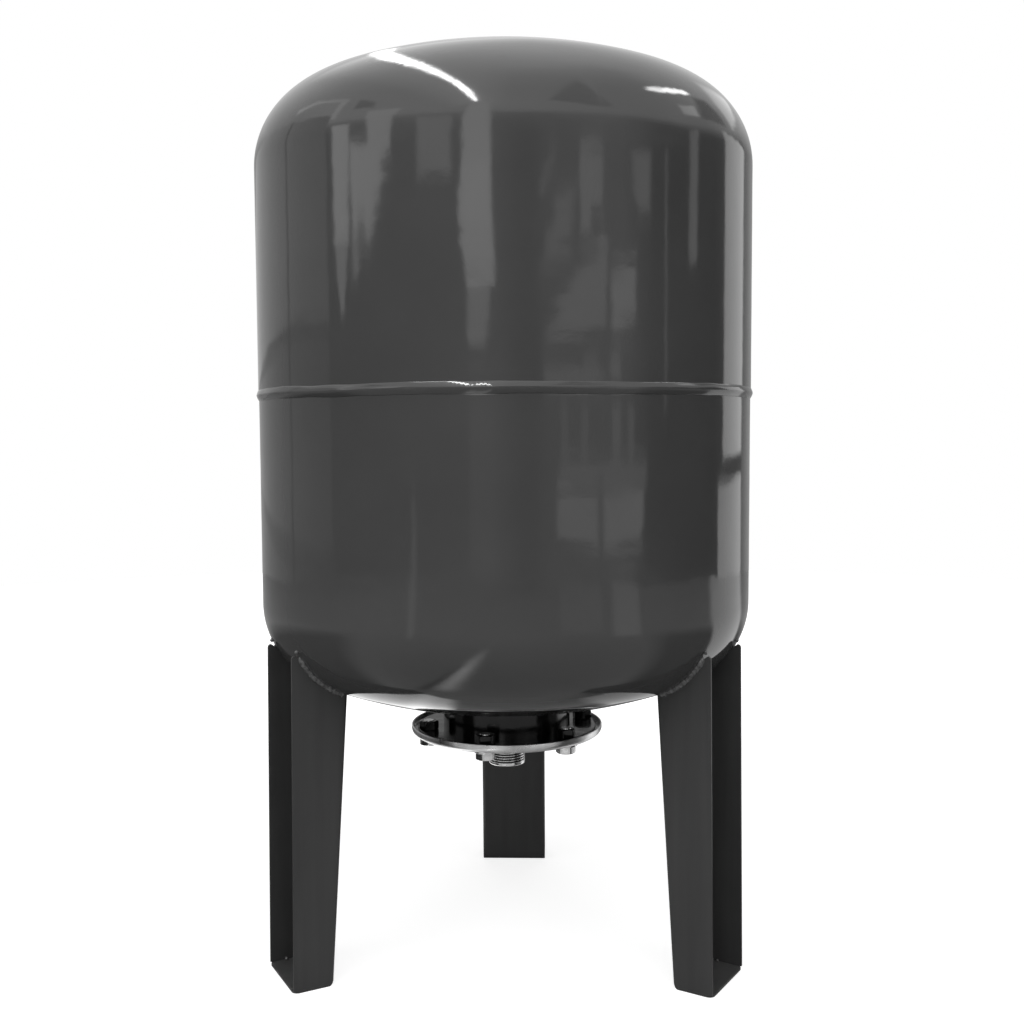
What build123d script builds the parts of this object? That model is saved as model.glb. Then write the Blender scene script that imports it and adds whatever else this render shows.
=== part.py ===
"""Well pressure tank: a two-piece steel shell on three folded legs, with its bladder and pipe flange.

Millimetres, +Z up. The origin is on the floor under the tank's axis, and the rear leg stands on +Y.
Each physical piece is one solid in one STEP file.
"""
import math
import os
from collections import namedtuple

from build123d import *

Head = namedtuple("Head", "radius knuckle crown z_tangent side")

# Shell: two drawn halves, the lower one necked so that it slips inside the upper one
SHELL_R = 220.0
SHELL_T = 1.5
KNUCKLE_R = 73.0
CROWN_R = 479.0
LOWER_TANGENT_Z = 314.7
LOWER_LENGTH = 182.6
UPPER_LENGTH = 196.0
LOWER_STEP = 0.6
LAP_LENGTH = 12.0
LAP_SLOPE = 2.0
LOWER_R = SHELL_R - LOWER_STEP
SEAM_Z = LOWER_TANGENT_Z + LOWER_LENGTH
UPPER_TANGENT_Z = SEAM_Z + UPPER_LENGTH

# Girth weld
BEAD_WIDTH = 10.6
BEAD_PROUD = 2.3

# Legs: one folded sheet each, web towards the axis, flanges and foot outwards
LEG_COUNT = 3
LEG_WIDTH = 67.0
LEG_T = 2.0
LEG_INSET = 4.4
LEG_SPLAY = 3.0
LEG_DEPTH_FLOOR = 35.3
LEG_DEPTH_TOP = 48.3
FOOT_OVERHANG = 0.3
FOOT_CORNER_R = 5.5
WEB_BEND_R = 3.5
FOOT_BEND_R = 4.5
WEB_TOP_DROP = 68.7
EAR_TOP_DROP = 31.7
EAR_WIDTH = 2.8
EAR_SLOPE = 0.75
LEG_REACH = 9.0
LEG_OUTER_R = SHELL_R - LEG_INSET
LEG_FLOOR_R = LEG_OUTER_R + LEG_SPLAY
FOOT_OUTER_R = LEG_FLOOR_R + FOOT_OVERHANG
WEB_R_FLOOR = LEG_FLOOR_R - LEG_DEPTH_FLOOR
WEB_R_TOP = LEG_OUTER_R - LEG_DEPTH_TOP
WEB_TOP_Z = LOWER_TANGENT_Z - WEB_TOP_DROP
EAR_TOP_Z = LOWER_TANGENT_Z - EAR_TOP_DROP

# Welds along each leg's two flanges, measured from the web and from the flange's outer edge
LEG_BEAD_R = 3.0
LEG_BEAD_FROM_WEB = 3.0
LEG_BEAD_FROM_EDGE = 10.0

# Neck and flange stack, hung from the bottom of the dished head
NECK_R = 58.2
NECK_T = 3.0
NECK_DROP = 19.4
NECK_FLANGE_T = 2.5
NECK_FLANGE_EDGE = 8.5
LIP_T = 2.0
COVER_T = 1.5
COVER_GAP = 5.8
COVER_EDGE_R = 5.0
COVER_HEIGHT = 8.0

# Flange bolts, M10
BOLT_COUNT = 6
BOLT_ROOM = 15.3
BOLT_PHASE = -12.6
BOLT_R = 5.0
BOLT_CLEARANCE = 0.5
BOLT_LENGTH = 16.0
HEX_FLATS = 16.0
HEAD_HEIGHT = 6.4
NUT_HEIGHT = 8.0
WASHER_T = 1.6
WASHER_EDGE = 2.0
HEAD_TURNS = (22.0, -5.6, 14.0, -11.0, 8.0, 31.9)
NUT_TURNS = (4.0, 19.0, -14.0, 27.0, -3.0, 12.0)
BOLT_HOLE_R = BOLT_R + BOLT_CLEARANCE
BOLT_CIRCLE_R = NECK_R + BOLT_ROOM
NECK_FLANGE_R = BOLT_CIRCLE_R + NECK_FLANGE_EDGE
COVER_R = NECK_FLANGE_R + COVER_GAP
WASHER_R = HEX_FLATS / 2 + WASHER_EDGE

# Pipe connector, G1 male thread
PIPE_R = 33.25 / 2
PIPE_WALL = 4.125
PIPE_LENGTH = 30.6
PIPE_CHAMFER = 1.2
PIPE_RUNOUT = 4.0
PIPE_RUNOUT_DEPTH = 1.5
PIPE_SEAT_EDGE = 0.375
PIPE_COLLAR_EDGE = 4.0
PIPE_COLLAR_T = 2.5
PIPE_BORE_R = PIPE_R - PIPE_WALL
PIPE_SEAT_R = PIPE_R + PIPE_SEAT_EDGE
PIPE_COLLAR_R = PIPE_SEAT_R + PIPE_COLLAR_EDGE

# Bladder
RUBBER_T = 2.0
BLADDER_NECK_GAP = 1.2
BLADDER_LIP_GAP = 2.0
BLADDER_GAP = 52.0
BLADDER_TOP_KNUCKLE = 95.0
BLADDER_TOP_CROWN = 300.0
BLADDER_TOP_ROOM = 133.3
BLADDER_LOW_KNUCKLE = 110.0
BLADDER_LOW_CROWN = 260.0
BLADDER_LOW_ROOM = 35.3
BLADDER_NECK_R = NECK_R - NECK_T - BLADDER_NECK_GAP
BLADDER_LIP_R = BOLT_CIRCLE_R - BOLT_HOLE_R - BLADDER_LIP_GAP
BLADDER_R = SHELL_R - BLADDER_GAP
BLADDER_TOP_Z = UPPER_TANGENT_Z - BLADDER_TOP_ROOM
BLADDER_LOW_Z = LOWER_TANGENT_Z + BLADDER_LOW_ROOM

# Air valve
SHANK_R = 4.85
BOSS_WALL = 4.15
BOSS_PROUD = 3.0
BOSS_DEPTH = 2.0
STEM_R = 3.85
STEM_WALL = 1.2
STEM_HEX = 12.0
STEM_HEX_T = 4.5
STEM_HEIGHT = 14.0
CORE_DROP = 1.0
CORE_LENGTH = 9.0
PIN_R = 0.8
PIN_CLEARANCE = 0.35
PIN_DROP = 0.6
PIN_DISC_GAP = 0.75
PIN_DISC_T = 1.2
PIN_GAP = 0.05
CAP_CLEARANCE = 0.12
CAP_WALL = 1.43
CAP_TOP_T = 1.8
CAP_TOP_GAP = 0.4
CAP_LIFT = 0.6
BOSS_R = SHANK_R + BOSS_WALL
STEM_BORE_R = STEM_R - STEM_WALL
CORE_BORE_R = PIN_R + PIN_CLEARANCE
PIN_DISC_R = STEM_BORE_R - PIN_DISC_GAP
CAP_R = STEM_R + CAP_CLEARANCE + CAP_WALL

UPPER_HEAD = Head(SHELL_R, KNUCKLE_R, CROWN_R, UPPER_TANGENT_Z, 1)
LOWER_HEAD = Head(LOWER_R, KNUCKLE_R, CROWN_R, LOWER_TANGENT_Z, -1)
BLADDER_HIGH = Head(BLADDER_R, BLADDER_TOP_KNUCKLE, BLADDER_TOP_CROWN, BLADDER_TOP_Z, 1)
BLADDER_LOW = Head(BLADDER_R, BLADDER_LOW_KNUCKLE, BLADDER_LOW_CROWN, BLADDER_LOW_Z, -1)


def crown_centre(head):
    """Height of the crown sphere's centre."""
    drop = math.sqrt((head.crown - head.knuckle) ** 2 - (head.radius - head.knuckle) ** 2)
    return head.z_tangent - head.side * drop


def junction_r(head):
    """Radius at which the knuckle meets the crown."""
    return (head.radius - head.knuckle) * head.crown / (head.crown - head.knuckle)


def head_z(head, r):
    """Height of the head's surface at radius r."""
    if r > junction_r(head):
        reach = r - (head.radius - head.knuckle)
        return head.z_tangent + head.side * math.sqrt(max(head.knuckle ** 2 - reach ** 2, 0.0))
    return crown_centre(head) + head.side * math.sqrt(head.crown ** 2 - r ** 2)


def inside(head, t):
    """The same head's inner surface, t further in."""
    return Head(head.radius - t, head.knuckle - t, head.crown - t, head.z_tangent, head.side)


def on_profile(r, z):
    """A profile point: radius and height in the XZ plane."""
    return Vector(r, 0, z)


def line(start, end):
    return Edge.make_line(on_profile(*start), on_profile(*end))


def arc(start, middle, end):
    return Edge.make_three_point_arc(on_profile(*start), on_profile(*middle), on_profile(*end))


def head_edges(head, r_end):
    """The head's two arcs, from its tangent line in to r_end."""
    rj = junction_r(head)
    mid_k = (head.radius + rj) / 2
    mid_c = (rj + r_end) / 2
    joint = (rj, head_z(head, rj))
    return [
        arc((head.radius, head.z_tangent), (mid_k, head_z(head, mid_k)), joint),
        arc(joint, (mid_c, head_z(head, mid_c)), (r_end, head_z(head, r_end))),
    ]


def turned(edges):
    """A solid of revolution about the tank's axis."""
    return revolve(make_face(edges), Axis.Z, 360)


def closed(points):
    """Straight edges around a list of profile points."""
    return [line(a, b) for a, b in zip(points, points[1:] + points[:1])]


def tube(r_out, r_in, z_low, z_high):
    return turned(closed([(r_in, z_low), (r_out, z_low), (r_out, z_high), (r_in, z_high)]))


def disc(r, z_low, z_high):
    return Pos(0, 0, z_low) * Cylinder(r, z_high - z_low, align=(Align.CENTER, Align.CENTER, Align.MIN))


def hexagon(flats, z_low, z_high, turn):
    """A hexagonal prism with one flat towards -Y before its turn."""
    outline = RegularPolygon(flats / 2, 6, major_radius=False)
    base = Pos(0, 0, z_low) * Rot(0, 0, turn) * outline
    return extrude(base, z_high - z_low)


def bevel_cut(flats, z_low, z_high, low, high):
    """The turned shape that rounds off a hexagon's corners at one or both ends."""
    corner = flats / math.sqrt(3) + 0.2
    face = flats / 2 * 0.95
    rise = (corner - face) * math.tan(math.radians(30))
    low_ring = [(face, z_low), (corner, z_low + rise)] if low else [(corner, z_low)]
    high_ring = [(corner, z_high - rise), (face, z_high)] if high else [(corner, z_high)]
    return turned(closed([(0, z_low)] + low_ring + high_ring + [(0, z_high)]))


def upper_shell():
    """Upper half: cylinder and dished top, open at the seam, with the valve boss's hole."""
    inner = inside(UPPER_HEAD, SHELL_T)
    edges = [line((SHELL_R, SEAM_Z), (SHELL_R, UPPER_TANGENT_Z))]
    edges += head_edges(UPPER_HEAD, BOSS_R)
    edges += [line((BOSS_R, head_z(UPPER_HEAD, BOSS_R)), (BOSS_R, head_z(inner, BOSS_R)))]
    edges += head_edges(inner, BOSS_R)
    edges += [
        line((inner.radius, UPPER_TANGENT_Z), (inner.radius, SEAM_Z)),
        line((inner.radius, SEAM_Z), (SHELL_R, SEAM_Z)),
    ]
    return turned(edges)


def lower_shell():
    """Lower half: its rim is necked in to lie inside the upper half's rim."""
    inner = inside(LOWER_HEAD, SHELL_T)
    hole_r = NECK_R - NECK_T
    lap_r = SHELL_R - SHELL_T
    lap_top = SEAM_Z + LAP_LENGTH
    outside = [(LOWER_R, LOWER_TANGENT_Z), (LOWER_R, SEAM_Z - LAP_SLOPE), (lap_r, SEAM_Z), (lap_r, lap_top)]
    within = [(r - SHELL_T, z) for r, z in reversed(outside)]
    path = outside + within
    edges = [line(a, b) for a, b in zip(path, path[1:])]
    edges += head_edges(inner, hole_r) + head_edges(LOWER_HEAD, hole_r)
    edges += [line((hole_r, head_z(inner, hole_r)), (hole_r, head_z(LOWER_HEAD, hole_r)))]
    return turned(edges)


def girth_weld():
    """The bead over the seam, closing on both halves' outer faces."""
    half = BEAD_WIDTH / 2
    top = (SHELL_R, SEAM_Z + half)
    low = (LOWER_R, SEAM_Z - half)
    edges = [arc(top, (SHELL_R + BEAD_PROUD, SEAM_Z), low)]
    path = [low, (LOWER_R, SEAM_Z - LAP_SLOPE), (SHELL_R - SHELL_T, SEAM_Z), (SHELL_R, SEAM_Z), top]
    edges += [line(a, b) for a, b in zip(path, path[1:])]
    return turned(edges)


def lower_body():
    """The lower half as one full solid, used to trim what is welded to it."""
    edges = head_edges(LOWER_HEAD, 0.0)
    apex = (0.0, head_z(LOWER_HEAD, 0.0))
    path = [apex, (0.0, SEAM_Z), (LOWER_R, SEAM_Z), (LOWER_R, LOWER_TANGENT_Z)]
    edges += [line(a, b) for a, b in zip(path, path[1:])]
    return turned(edges)


def side_outline(points, half_width):
    """A prism across X from points given as radial distance and height."""
    wire = Wire.make_polygon([Vector(-half_width, r, z) for r, z in points], close=True)
    return extrude(Face(wire), 2 * half_width, dir=(1, 0, 0))


def web_r(z):
    """Radial distance of the web's face towards the axis, at height z."""
    return WEB_R_FLOOR + (WEB_R_TOP - WEB_R_FLOOR) * z / WEB_TOP_Z


def leg_blank():
    """The leg's outer shape, reaching up into the shell, with its bends rounded."""
    top_z = WEB_TOP_Z + LEG_REACH
    inner_top = (web_r(top_z), top_z)
    ear_peak = (LEG_OUTER_R - EAR_WIDTH, EAR_TOP_Z)
    ear_inner = (ear_peak[0] - LEG_REACH, EAR_TOP_Z - LEG_REACH * EAR_SLOPE)
    points = [(web_r(0), 0.0), (LEG_FLOOR_R, 0.0), (LEG_OUTER_R, EAR_TOP_Z), ear_peak, ear_inner, inner_top]
    blank = side_outline(points, LEG_WIDTH / 2)
    ear = [e for e in blank.edges().filter_by(Axis.X)
           if abs(e.center().Y - LEG_OUTER_R) < 0.1 and e.center().Z > EAR_TOP_Z - 0.1]
    blank = fillet(ear, EAR_WIDTH * 0.95)
    foot = [e for e in blank.edges().filter_by(Axis.X)
            if abs(e.center().Y - WEB_R_FLOOR) < 0.1 and e.center().Z < 0.1]
    blank = fillet(foot, FOOT_BEND_R)
    upright = [e for e in blank.edges() if e.length > WEB_TOP_Z * 0.8 and e.center().Y < LEG_OUTER_R - 0.1]
    return fillet(upright, WEB_BEND_R)


def leg_hollow():
    """The channel's inside, open outwards and upwards."""
    lean = math.sqrt(1 + ((WEB_R_TOP - WEB_R_FLOOR) / WEB_TOP_Z) ** 2)
    top_z = EAR_TOP_Z + 10
    back = LEG_T * lean
    points = [(web_r(LEG_T) + back, LEG_T), (LEG_OUTER_R + 20, LEG_T), (LEG_OUTER_R + 20, top_z),
              (web_r(top_z) + back, top_z)]
    hollow = side_outline(points, LEG_WIDTH / 2 - LEG_T)
    uprights = [e for e in hollow.edges() if e.length > top_z * 0.8 and e.center().Y < LEG_OUTER_R - 0.1]
    floor = [e for e in hollow.edges().filter_by(Axis.X)
             if abs(e.center().Z - LEG_T) < 0.1 and e.center().Y < LEG_OUTER_R - 0.1]
    return fillet(uprights + floor, WEB_BEND_R - LEG_T)


def foot_strip_r():
    """Where the foot's outer strip starts: behind its rounded corners, under the flanges."""
    return LEG_FLOOR_R - FOOT_CORNER_R * 2


def foot_plate():
    """The foot's outer strip, a little past the flanges, with its corners rounded."""
    start = foot_strip_r()
    strip = Pos(0, start, 0) * Box(
        LEG_WIDTH, FOOT_OUTER_R - start, LEG_T, align=(Align.CENTER, Align.MIN, Align.MIN))
    corners = [e for e in strip.edges().filter_by(Axis.Z) if e.center().Y > FOOT_OUTER_R - 0.1]
    return fillet(corners, FOOT_CORNER_R)


def rear_leg(body):
    """One leg on +Y: folded channel with its foot, trimmed to the shell."""
    folded = leg_blank() - leg_hollow()
    below_flange = Pos(0, foot_strip_r(), 0) * Box(
        LEG_WIDTH + 2, LEG_WIDTH, LEG_T, align=(Align.CENTER, Align.MIN, Align.MIN))
    return folded - below_flange + foot_plate() - body


def bead_point(y):
    """A point where the flange's outer face meets the shell, at radial distance y."""
    x = LEG_WIDTH / 2
    return Vector(x, y, head_z(LOWER_HEAD, math.hypot(x, y)))


def leg_bead(body, side):
    """One fillet bead on a flange's outer face, along the line where it meets the shell."""
    low_r, high_r = WEB_R_TOP + LEG_BEAD_FROM_WEB, LEG_OUTER_R - LEG_BEAD_FROM_EDGE
    start, end = bead_point(low_r), bead_point(high_r)
    spine = Edge.make_three_point_arc(start, bead_point((low_r + high_r) / 2), end)
    section = Plane(start, z_dir=spine.tangent_at(0)) * Circle(LEG_BEAD_R)
    rope = sweep(section, path=spine)
    leg_side = Pos(LEG_WIDTH / 2, 0, 0) * Box(100, 600, 600, align=(Align.MAX, Align.MIN, Align.MIN))
    bead = rope - leg_side - body
    return bead if side > 0 else mirror(bead, about=Plane.YZ)


def around(piece, angle):
    return piece.rotate(Axis.Z, angle)


def neck_collar():
    """The short tube between the shell's bottom opening and the neck flange."""
    inner_r = NECK_R - NECK_T
    low = neck_flange_top()
    mid = (inner_r + NECK_R) / 2
    edges = [
        line((inner_r, head_z(LOWER_HEAD, inner_r)), (inner_r, low)),
        line((inner_r, low), (NECK_R, low)),
        line((NECK_R, low), (NECK_R, head_z(LOWER_HEAD, NECK_R))),
        arc((NECK_R, head_z(LOWER_HEAD, NECK_R)), (mid, head_z(LOWER_HEAD, mid)),
            (inner_r, head_z(LOWER_HEAD, inner_r))),
    ]
    return turned(edges)


def neck_flange_top():
    return head_z(LOWER_HEAD, 0.0) - NECK_DROP


def neck_flange_low():
    return neck_flange_top() - NECK_FLANGE_T


def cover_floor():
    return neck_flange_low() - LIP_T


def cover_under():
    return cover_floor() - COVER_T


def bolt_spots():
    """The bolts' places: angle from -Y towards +X, then X and Y."""
    for i in range(BOLT_COUNT):
        a = math.radians(BOLT_PHASE + 360 / BOLT_COUNT * i)
        yield BOLT_CIRCLE_R * math.sin(a), -BOLT_CIRCLE_R * math.cos(a)


def bolt_holes():
    """All bolt holes, long enough for the whole stack."""
    low, high = cover_under() - 5, neck_flange_top() + 5
    return [Pos(x, y, 0) * disc(BOLT_HOLE_R, low, high) for x, y in bolt_spots()]


def neck_flange():
    """Ring plate with a softly rounded top edge."""
    ring = tube(NECK_FLANGE_R, NECK_R - NECK_T, neck_flange_low(), neck_flange_top())
    rim = [e for e in ring.edges().filter_by(GeomType.CIRCLE)
           if e.radius > NECK_FLANGE_R - 0.1 and e.center().Z > neck_flange_top() - 0.1]
    return fillet(rim, NECK_FLANGE_T * 0.4) - bolt_holes()


def cover_plate():
    """Pressed dish: flat floor, rounded edge and an upright lip with a rounded top."""
    low, floor, lip = cover_under(), cover_floor(), cover_under() + COVER_HEIGHT
    edge_in = COVER_EDGE_R - COVER_T
    turn_r, turn_z = COVER_R - COVER_EDGE_R, low + COVER_EDGE_R
    q = math.sqrt(0.5)
    lip_mid = COVER_R - COVER_T / 2
    edges = [
        line((PIPE_SEAT_R, low), (turn_r, low)),
        arc((turn_r, low), (turn_r + COVER_EDGE_R * q, turn_z - COVER_EDGE_R * q), (COVER_R, turn_z)),
        line((COVER_R, turn_z), (COVER_R, lip - COVER_T / 2)),
        arc((COVER_R, lip - COVER_T / 2), (lip_mid, lip), (COVER_R - COVER_T, lip - COVER_T / 2)),
        line((COVER_R - COVER_T, lip - COVER_T / 2), (COVER_R - COVER_T, turn_z)),
        arc((COVER_R - COVER_T, turn_z), (turn_r + edge_in * q, turn_z - edge_in * q), (turn_r, floor)),
        line((turn_r, floor), (PIPE_SEAT_R, floor)),
        line((PIPE_SEAT_R, floor), (PIPE_SEAT_R, low)),
    ]
    return turned(edges) - bolt_holes()


def threaded_connector():
    """Pipe stub at the thread's full diameter, with its run-out groove, seat and inner collar."""
    under, floor = cover_under(), cover_floor()
    top = floor + PIPE_COLLAR_T
    end = under - PIPE_LENGTH
    thread_top, root_r = under - PIPE_RUNOUT, PIPE_R - PIPE_RUNOUT_DEPTH
    return turned(closed([
        (PIPE_BORE_R, end), (PIPE_R - PIPE_CHAMFER, end), (PIPE_R, end + PIPE_CHAMFER),
        (PIPE_R, thread_top), (root_r, thread_top + PIPE_RUNOUT_DEPTH), (root_r, under),
        (PIPE_SEAT_R, under), (PIPE_SEAT_R, floor), (PIPE_COLLAR_R, floor), (PIPE_COLLAR_R, top),
        (PIPE_BORE_R, top),
    ]))


def bladder_edges(inset, z_low):
    """One side of the bag's wall: up the neck, out over the shoulder and round to the axis."""
    low, high = inside(BLADDER_LOW, inset), inside(BLADDER_HIGH, inset)
    neck = BLADDER_NECK_R - inset
    edges = [line((neck, z_low), (neck, head_z(low, neck)))]
    edges += head_edges(low, neck)
    edges += [line((low.radius, low.z_tangent), (high.radius, high.z_tangent))]
    return edges + head_edges(high, 0.0), head_z(high, 0.0)


def bladder():
    """Rubber bag with its lip between the cover plate and the neck flange."""
    floor, lip_top = cover_floor(), neck_flange_low()
    outer, top = bladder_edges(0.0, lip_top)
    inner, inner_top = bladder_edges(RUBBER_T, floor)
    edges = outer + inner + [
        line((BLADDER_NECK_R, lip_top), (BLADDER_LIP_R, lip_top)),
        line((BLADDER_LIP_R, lip_top), (BLADDER_LIP_R, floor)),
        line((BLADDER_LIP_R, floor), (BLADDER_NECK_R - RUBBER_T, floor)),
        line((0, top), (0, inner_top)),
    ]
    return turned(edges)


def flange_bolt(turn):
    """Hexagon bolt, head down, at the origin."""
    seat = cover_under() - WASHER_T
    head = hexagon(HEX_FLATS, seat - HEAD_HEIGHT, seat, turn) & bevel_cut(
        HEX_FLATS, seat - HEAD_HEIGHT, seat, True, False)
    end = seat + BOLT_LENGTH
    shank = turned(closed([(0, seat), (BOLT_R, seat), (BOLT_R, end - 1.0), (BOLT_R - 1.0, end), (0, end)]))
    return head + shank


def flange_nut(turn):
    low, high = neck_flange_top(), neck_flange_top() + NUT_HEIGHT
    body = hexagon(HEX_FLATS, low, high, turn) & bevel_cut(HEX_FLATS, low, high, True, True)
    return body - disc(BOLT_R, low - 1, high + 1)


def flange_washer():
    return tube(WASHER_R, BOLT_HOLE_R, cover_under() - WASHER_T, cover_under())


def valve_levels():
    """Heights of the air valve: boss underside, boss top and the stem's mouth."""
    apex = head_z(UPPER_HEAD, 0.0)
    return apex - SHELL_T - BOSS_DEPTH, apex + BOSS_PROUD, apex + BOSS_PROUD + STEM_HEIGHT


def valve_boss():
    low, top, _ = valve_levels()
    boss = tube(BOSS_R, SHANK_R, low, top)
    rim = [e for e in boss.edges().filter_by(GeomType.CIRCLE)
           if e.radius > BOSS_R - 0.1 and e.center().Z > top - 0.1]
    return fillet(rim, 0.8)


def valve_stem():
    """Brass stem: shank in the boss, hexagon above it, threaded mouth for the cap."""
    low, top, mouth = valve_levels()
    hex_top = top + STEM_HEX_T
    nut = hexagon(STEM_HEX, top, hex_top, 10.0) & bevel_cut(STEM_HEX, top, hex_top, False, True)
    pipe = turned(closed([
        (0, hex_top), (STEM_R, hex_top), (STEM_R, mouth - 0.5), (STEM_R - 0.5, mouth), (0, mouth)]))
    return disc(SHANK_R, low, top) + nut + pipe - disc(STEM_BORE_R, low - 1, mouth + 1)


def valve_core():
    _, _, mouth = valve_levels()
    return tube(STEM_BORE_R, CORE_BORE_R, mouth - CORE_DROP - CORE_LENGTH, mouth - CORE_DROP)


def valve_pin():
    """The pin and its sealing disc, just clear of the core's lower end."""
    _, _, mouth = valve_levels()
    disc_top = mouth - CORE_DROP - CORE_LENGTH - PIN_GAP
    disc_low = disc_top - PIN_DISC_T
    tip = mouth - PIN_DROP
    return turned(closed([(0, disc_low), (PIN_DISC_R, disc_low), (PIN_DISC_R, disc_top), (PIN_R, disc_top),
                          (PIN_R, tip - 0.3), (PIN_R - 0.3, tip), (0, tip)]))


def valve_cap():
    """Dust cap, closed at the top, clear of the stem all round."""
    _, top, mouth = valve_levels()
    low = top + STEM_HEX_T + CAP_LIFT
    roof = mouth + CAP_TOP_GAP
    high = roof + CAP_TOP_T
    bore = STEM_R + CAP_CLEARANCE
    return turned(closed([(bore, low), (CAP_R, low), (CAP_R, high - 1.0), (CAP_R - 1.0, high), (0, high),
                          (0, roof), (bore, roof)]))


def save(name, piece):
    solids = piece.solids()
    if len(solids) != 1 or not solids[0].is_valid:
        raise ValueError(f"{name}: {len(solids)} solids, or not valid")
    export_step(solids[0], f"parts/{name}.step")


def main():
    os.makedirs("parts", exist_ok=True)
    body = lower_body()
    for make in (upper_shell, lower_shell, girth_weld, neck_collar, neck_flange, bladder, cover_plate,
                 threaded_connector, valve_boss, valve_stem, valve_core, valve_pin, valve_cap):
        save(make.__name__, make())
    leg = rear_leg(body)
    beads = {"a": leg_bead(body, 1), "b": leg_bead(body, -1)}
    for name, turn in (("rear", 0), ("left", 360 / LEG_COUNT), ("right", -360 / LEG_COUNT)):
        save(f"leg_{name}", around(leg, turn))
        for tag, bead in beads.items():
            save(f"leg_{name}_weld_{tag}", around(bead, turn))
    washer = flange_washer()
    for i, (x, y) in enumerate(bolt_spots()):
        save(f"flange_bolt_{i + 1}", Pos(x, y, 0) * flange_bolt(HEAD_TURNS[i]))
        save(f"flange_washer_{i + 1}", Pos(x, y, 0) * washer)
        save(f"flange_nut_{i + 1}", Pos(x, y, 0) * flange_nut(NUT_TURNS[i]))


main()
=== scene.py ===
"""Well pressure tank: its painted, plated and moulded pieces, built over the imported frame."""
import math

import bpy
import numpy as np
from mathutils import Matrix, Vector


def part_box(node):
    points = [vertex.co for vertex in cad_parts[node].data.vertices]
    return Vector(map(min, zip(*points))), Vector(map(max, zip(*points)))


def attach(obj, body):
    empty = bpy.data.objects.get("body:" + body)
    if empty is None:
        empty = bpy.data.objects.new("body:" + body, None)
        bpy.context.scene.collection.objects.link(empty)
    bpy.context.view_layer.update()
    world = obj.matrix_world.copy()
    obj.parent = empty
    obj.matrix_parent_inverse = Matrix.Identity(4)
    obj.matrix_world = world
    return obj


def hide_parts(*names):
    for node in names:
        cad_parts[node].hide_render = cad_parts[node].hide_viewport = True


bl_info = {
    "name": "Well pressure tank",
    "version": (1, 0, 0),
    "blender": (4, 5, 0),
    "location": "View3D > Sidebar > Pressure tank",
    "description": "Builds the visible pieces and finishes of a well pressure tank on three legs",
    "category": "Add Mesh",
}

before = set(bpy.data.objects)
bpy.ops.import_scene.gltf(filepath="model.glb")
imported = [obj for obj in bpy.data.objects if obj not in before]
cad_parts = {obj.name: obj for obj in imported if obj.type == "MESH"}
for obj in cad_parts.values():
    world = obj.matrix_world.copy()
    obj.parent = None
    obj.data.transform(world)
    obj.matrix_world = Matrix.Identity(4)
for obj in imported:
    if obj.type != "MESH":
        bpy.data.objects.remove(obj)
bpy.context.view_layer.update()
MM = 0.001
TAU = 2 * math.pi


# ---------------------------------------------------------------- sizes, in metres

def low(node):
    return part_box(node)[0]


def high(node):
    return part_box(node)[1]


SHELL_R = high("upper_shell").x
SHELL_T = 1.5 * MM
LOWER_R = SHELL_R - 0.6 * MM
KNUCKLE_R = 73 * MM
CROWN_R = 479 * MM
SEAM_Z = low("upper_shell").z
LOWER_TANGENT_Z = SEAM_Z - 182.6 * MM
UPPER_TANGENT_Z = SEAM_Z + 196 * MM
BOSS_R = 9 * MM
NECK_R = high("neck_collar").x
NECK_T = 3 * MM
PLATE_Z = low("cover_plate").z
COVER_T = 1.5 * MM
RING_LOW_Z, RING_TOP_Z = low("neck_flange").z, high("neck_flange").z
BOLT_CIRCLE_R = 73.5 * MM
BOLT_PHASE = -12.6
BOLT_R = 5 * MM
BOLT_LENGTH = 16 * MM
HEX_FLATS = 16 * MM
HEAD_HEIGHT = 6.4 * MM
NUT_HEIGHT = 8 * MM
WASHER_R = 10 * MM
WASHER_T = 1.6 * MM
HEAD_TURNS = (22.0, -5.6, 14.0, -11.0, 8.0, 31.9)
NUT_TURNS = (4.0, 19.0, -14.0, 27.0, -3.0, 12.0)
PIPE_R = 16.625 * MM
PIPE_END_Z = low("threaded_connector").z
LEG_W = 67 * MM
LEG_T = 2 * MM
LEG_TOP_R = 215.6 * MM
LEG_FLOOR_R = 218.6 * MM
FOOT_R = high("leg_rear").y
FOOT_CORNER = 5.5 * MM
WEB_FLOOR_R = 183.3 * MM
WEB_TOP_R = 167.3 * MM
WEB_TOP_Z = 246 * MM
WEB_BEND = 2.5 * MM
FOOT_BEND = 3.5 * MM
FOOT_BEND_Z = 4.5 * MM
EAR_TOP_Z = high("leg_rear").z
EAR_CORNER = 2.7 * MM
LEG_TURNS = (("rear", 0), ("left", TAU / 3), ("right", -TAU / 3))


def length_prop(name, description, default, low_end, high_end, precision=5):
    """A length, given in millimetres."""
    return bpy.props.FloatProperty(
        name=name, description=description, default=default * MM, min=low_end * MM, max=high_end * MM,
        unit="LENGTH", subtype="DISTANCE", precision=precision)


def level_prop(name, description, default, high_end=1):
    """A level from nothing up."""
    return bpy.props.FloatProperty(
        name=name, description=description, default=default, min=0, max=high_end, subtype="FACTOR")


def colour_prop(name, description, default):
    """A colour, or a grey given as one number."""
    rgb = default if isinstance(default, tuple) else (default,) * 3
    return bpy.props.FloatVectorProperty(
        name=name, description=description, default=rgb, min=0, max=1, subtype="COLOR")


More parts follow.
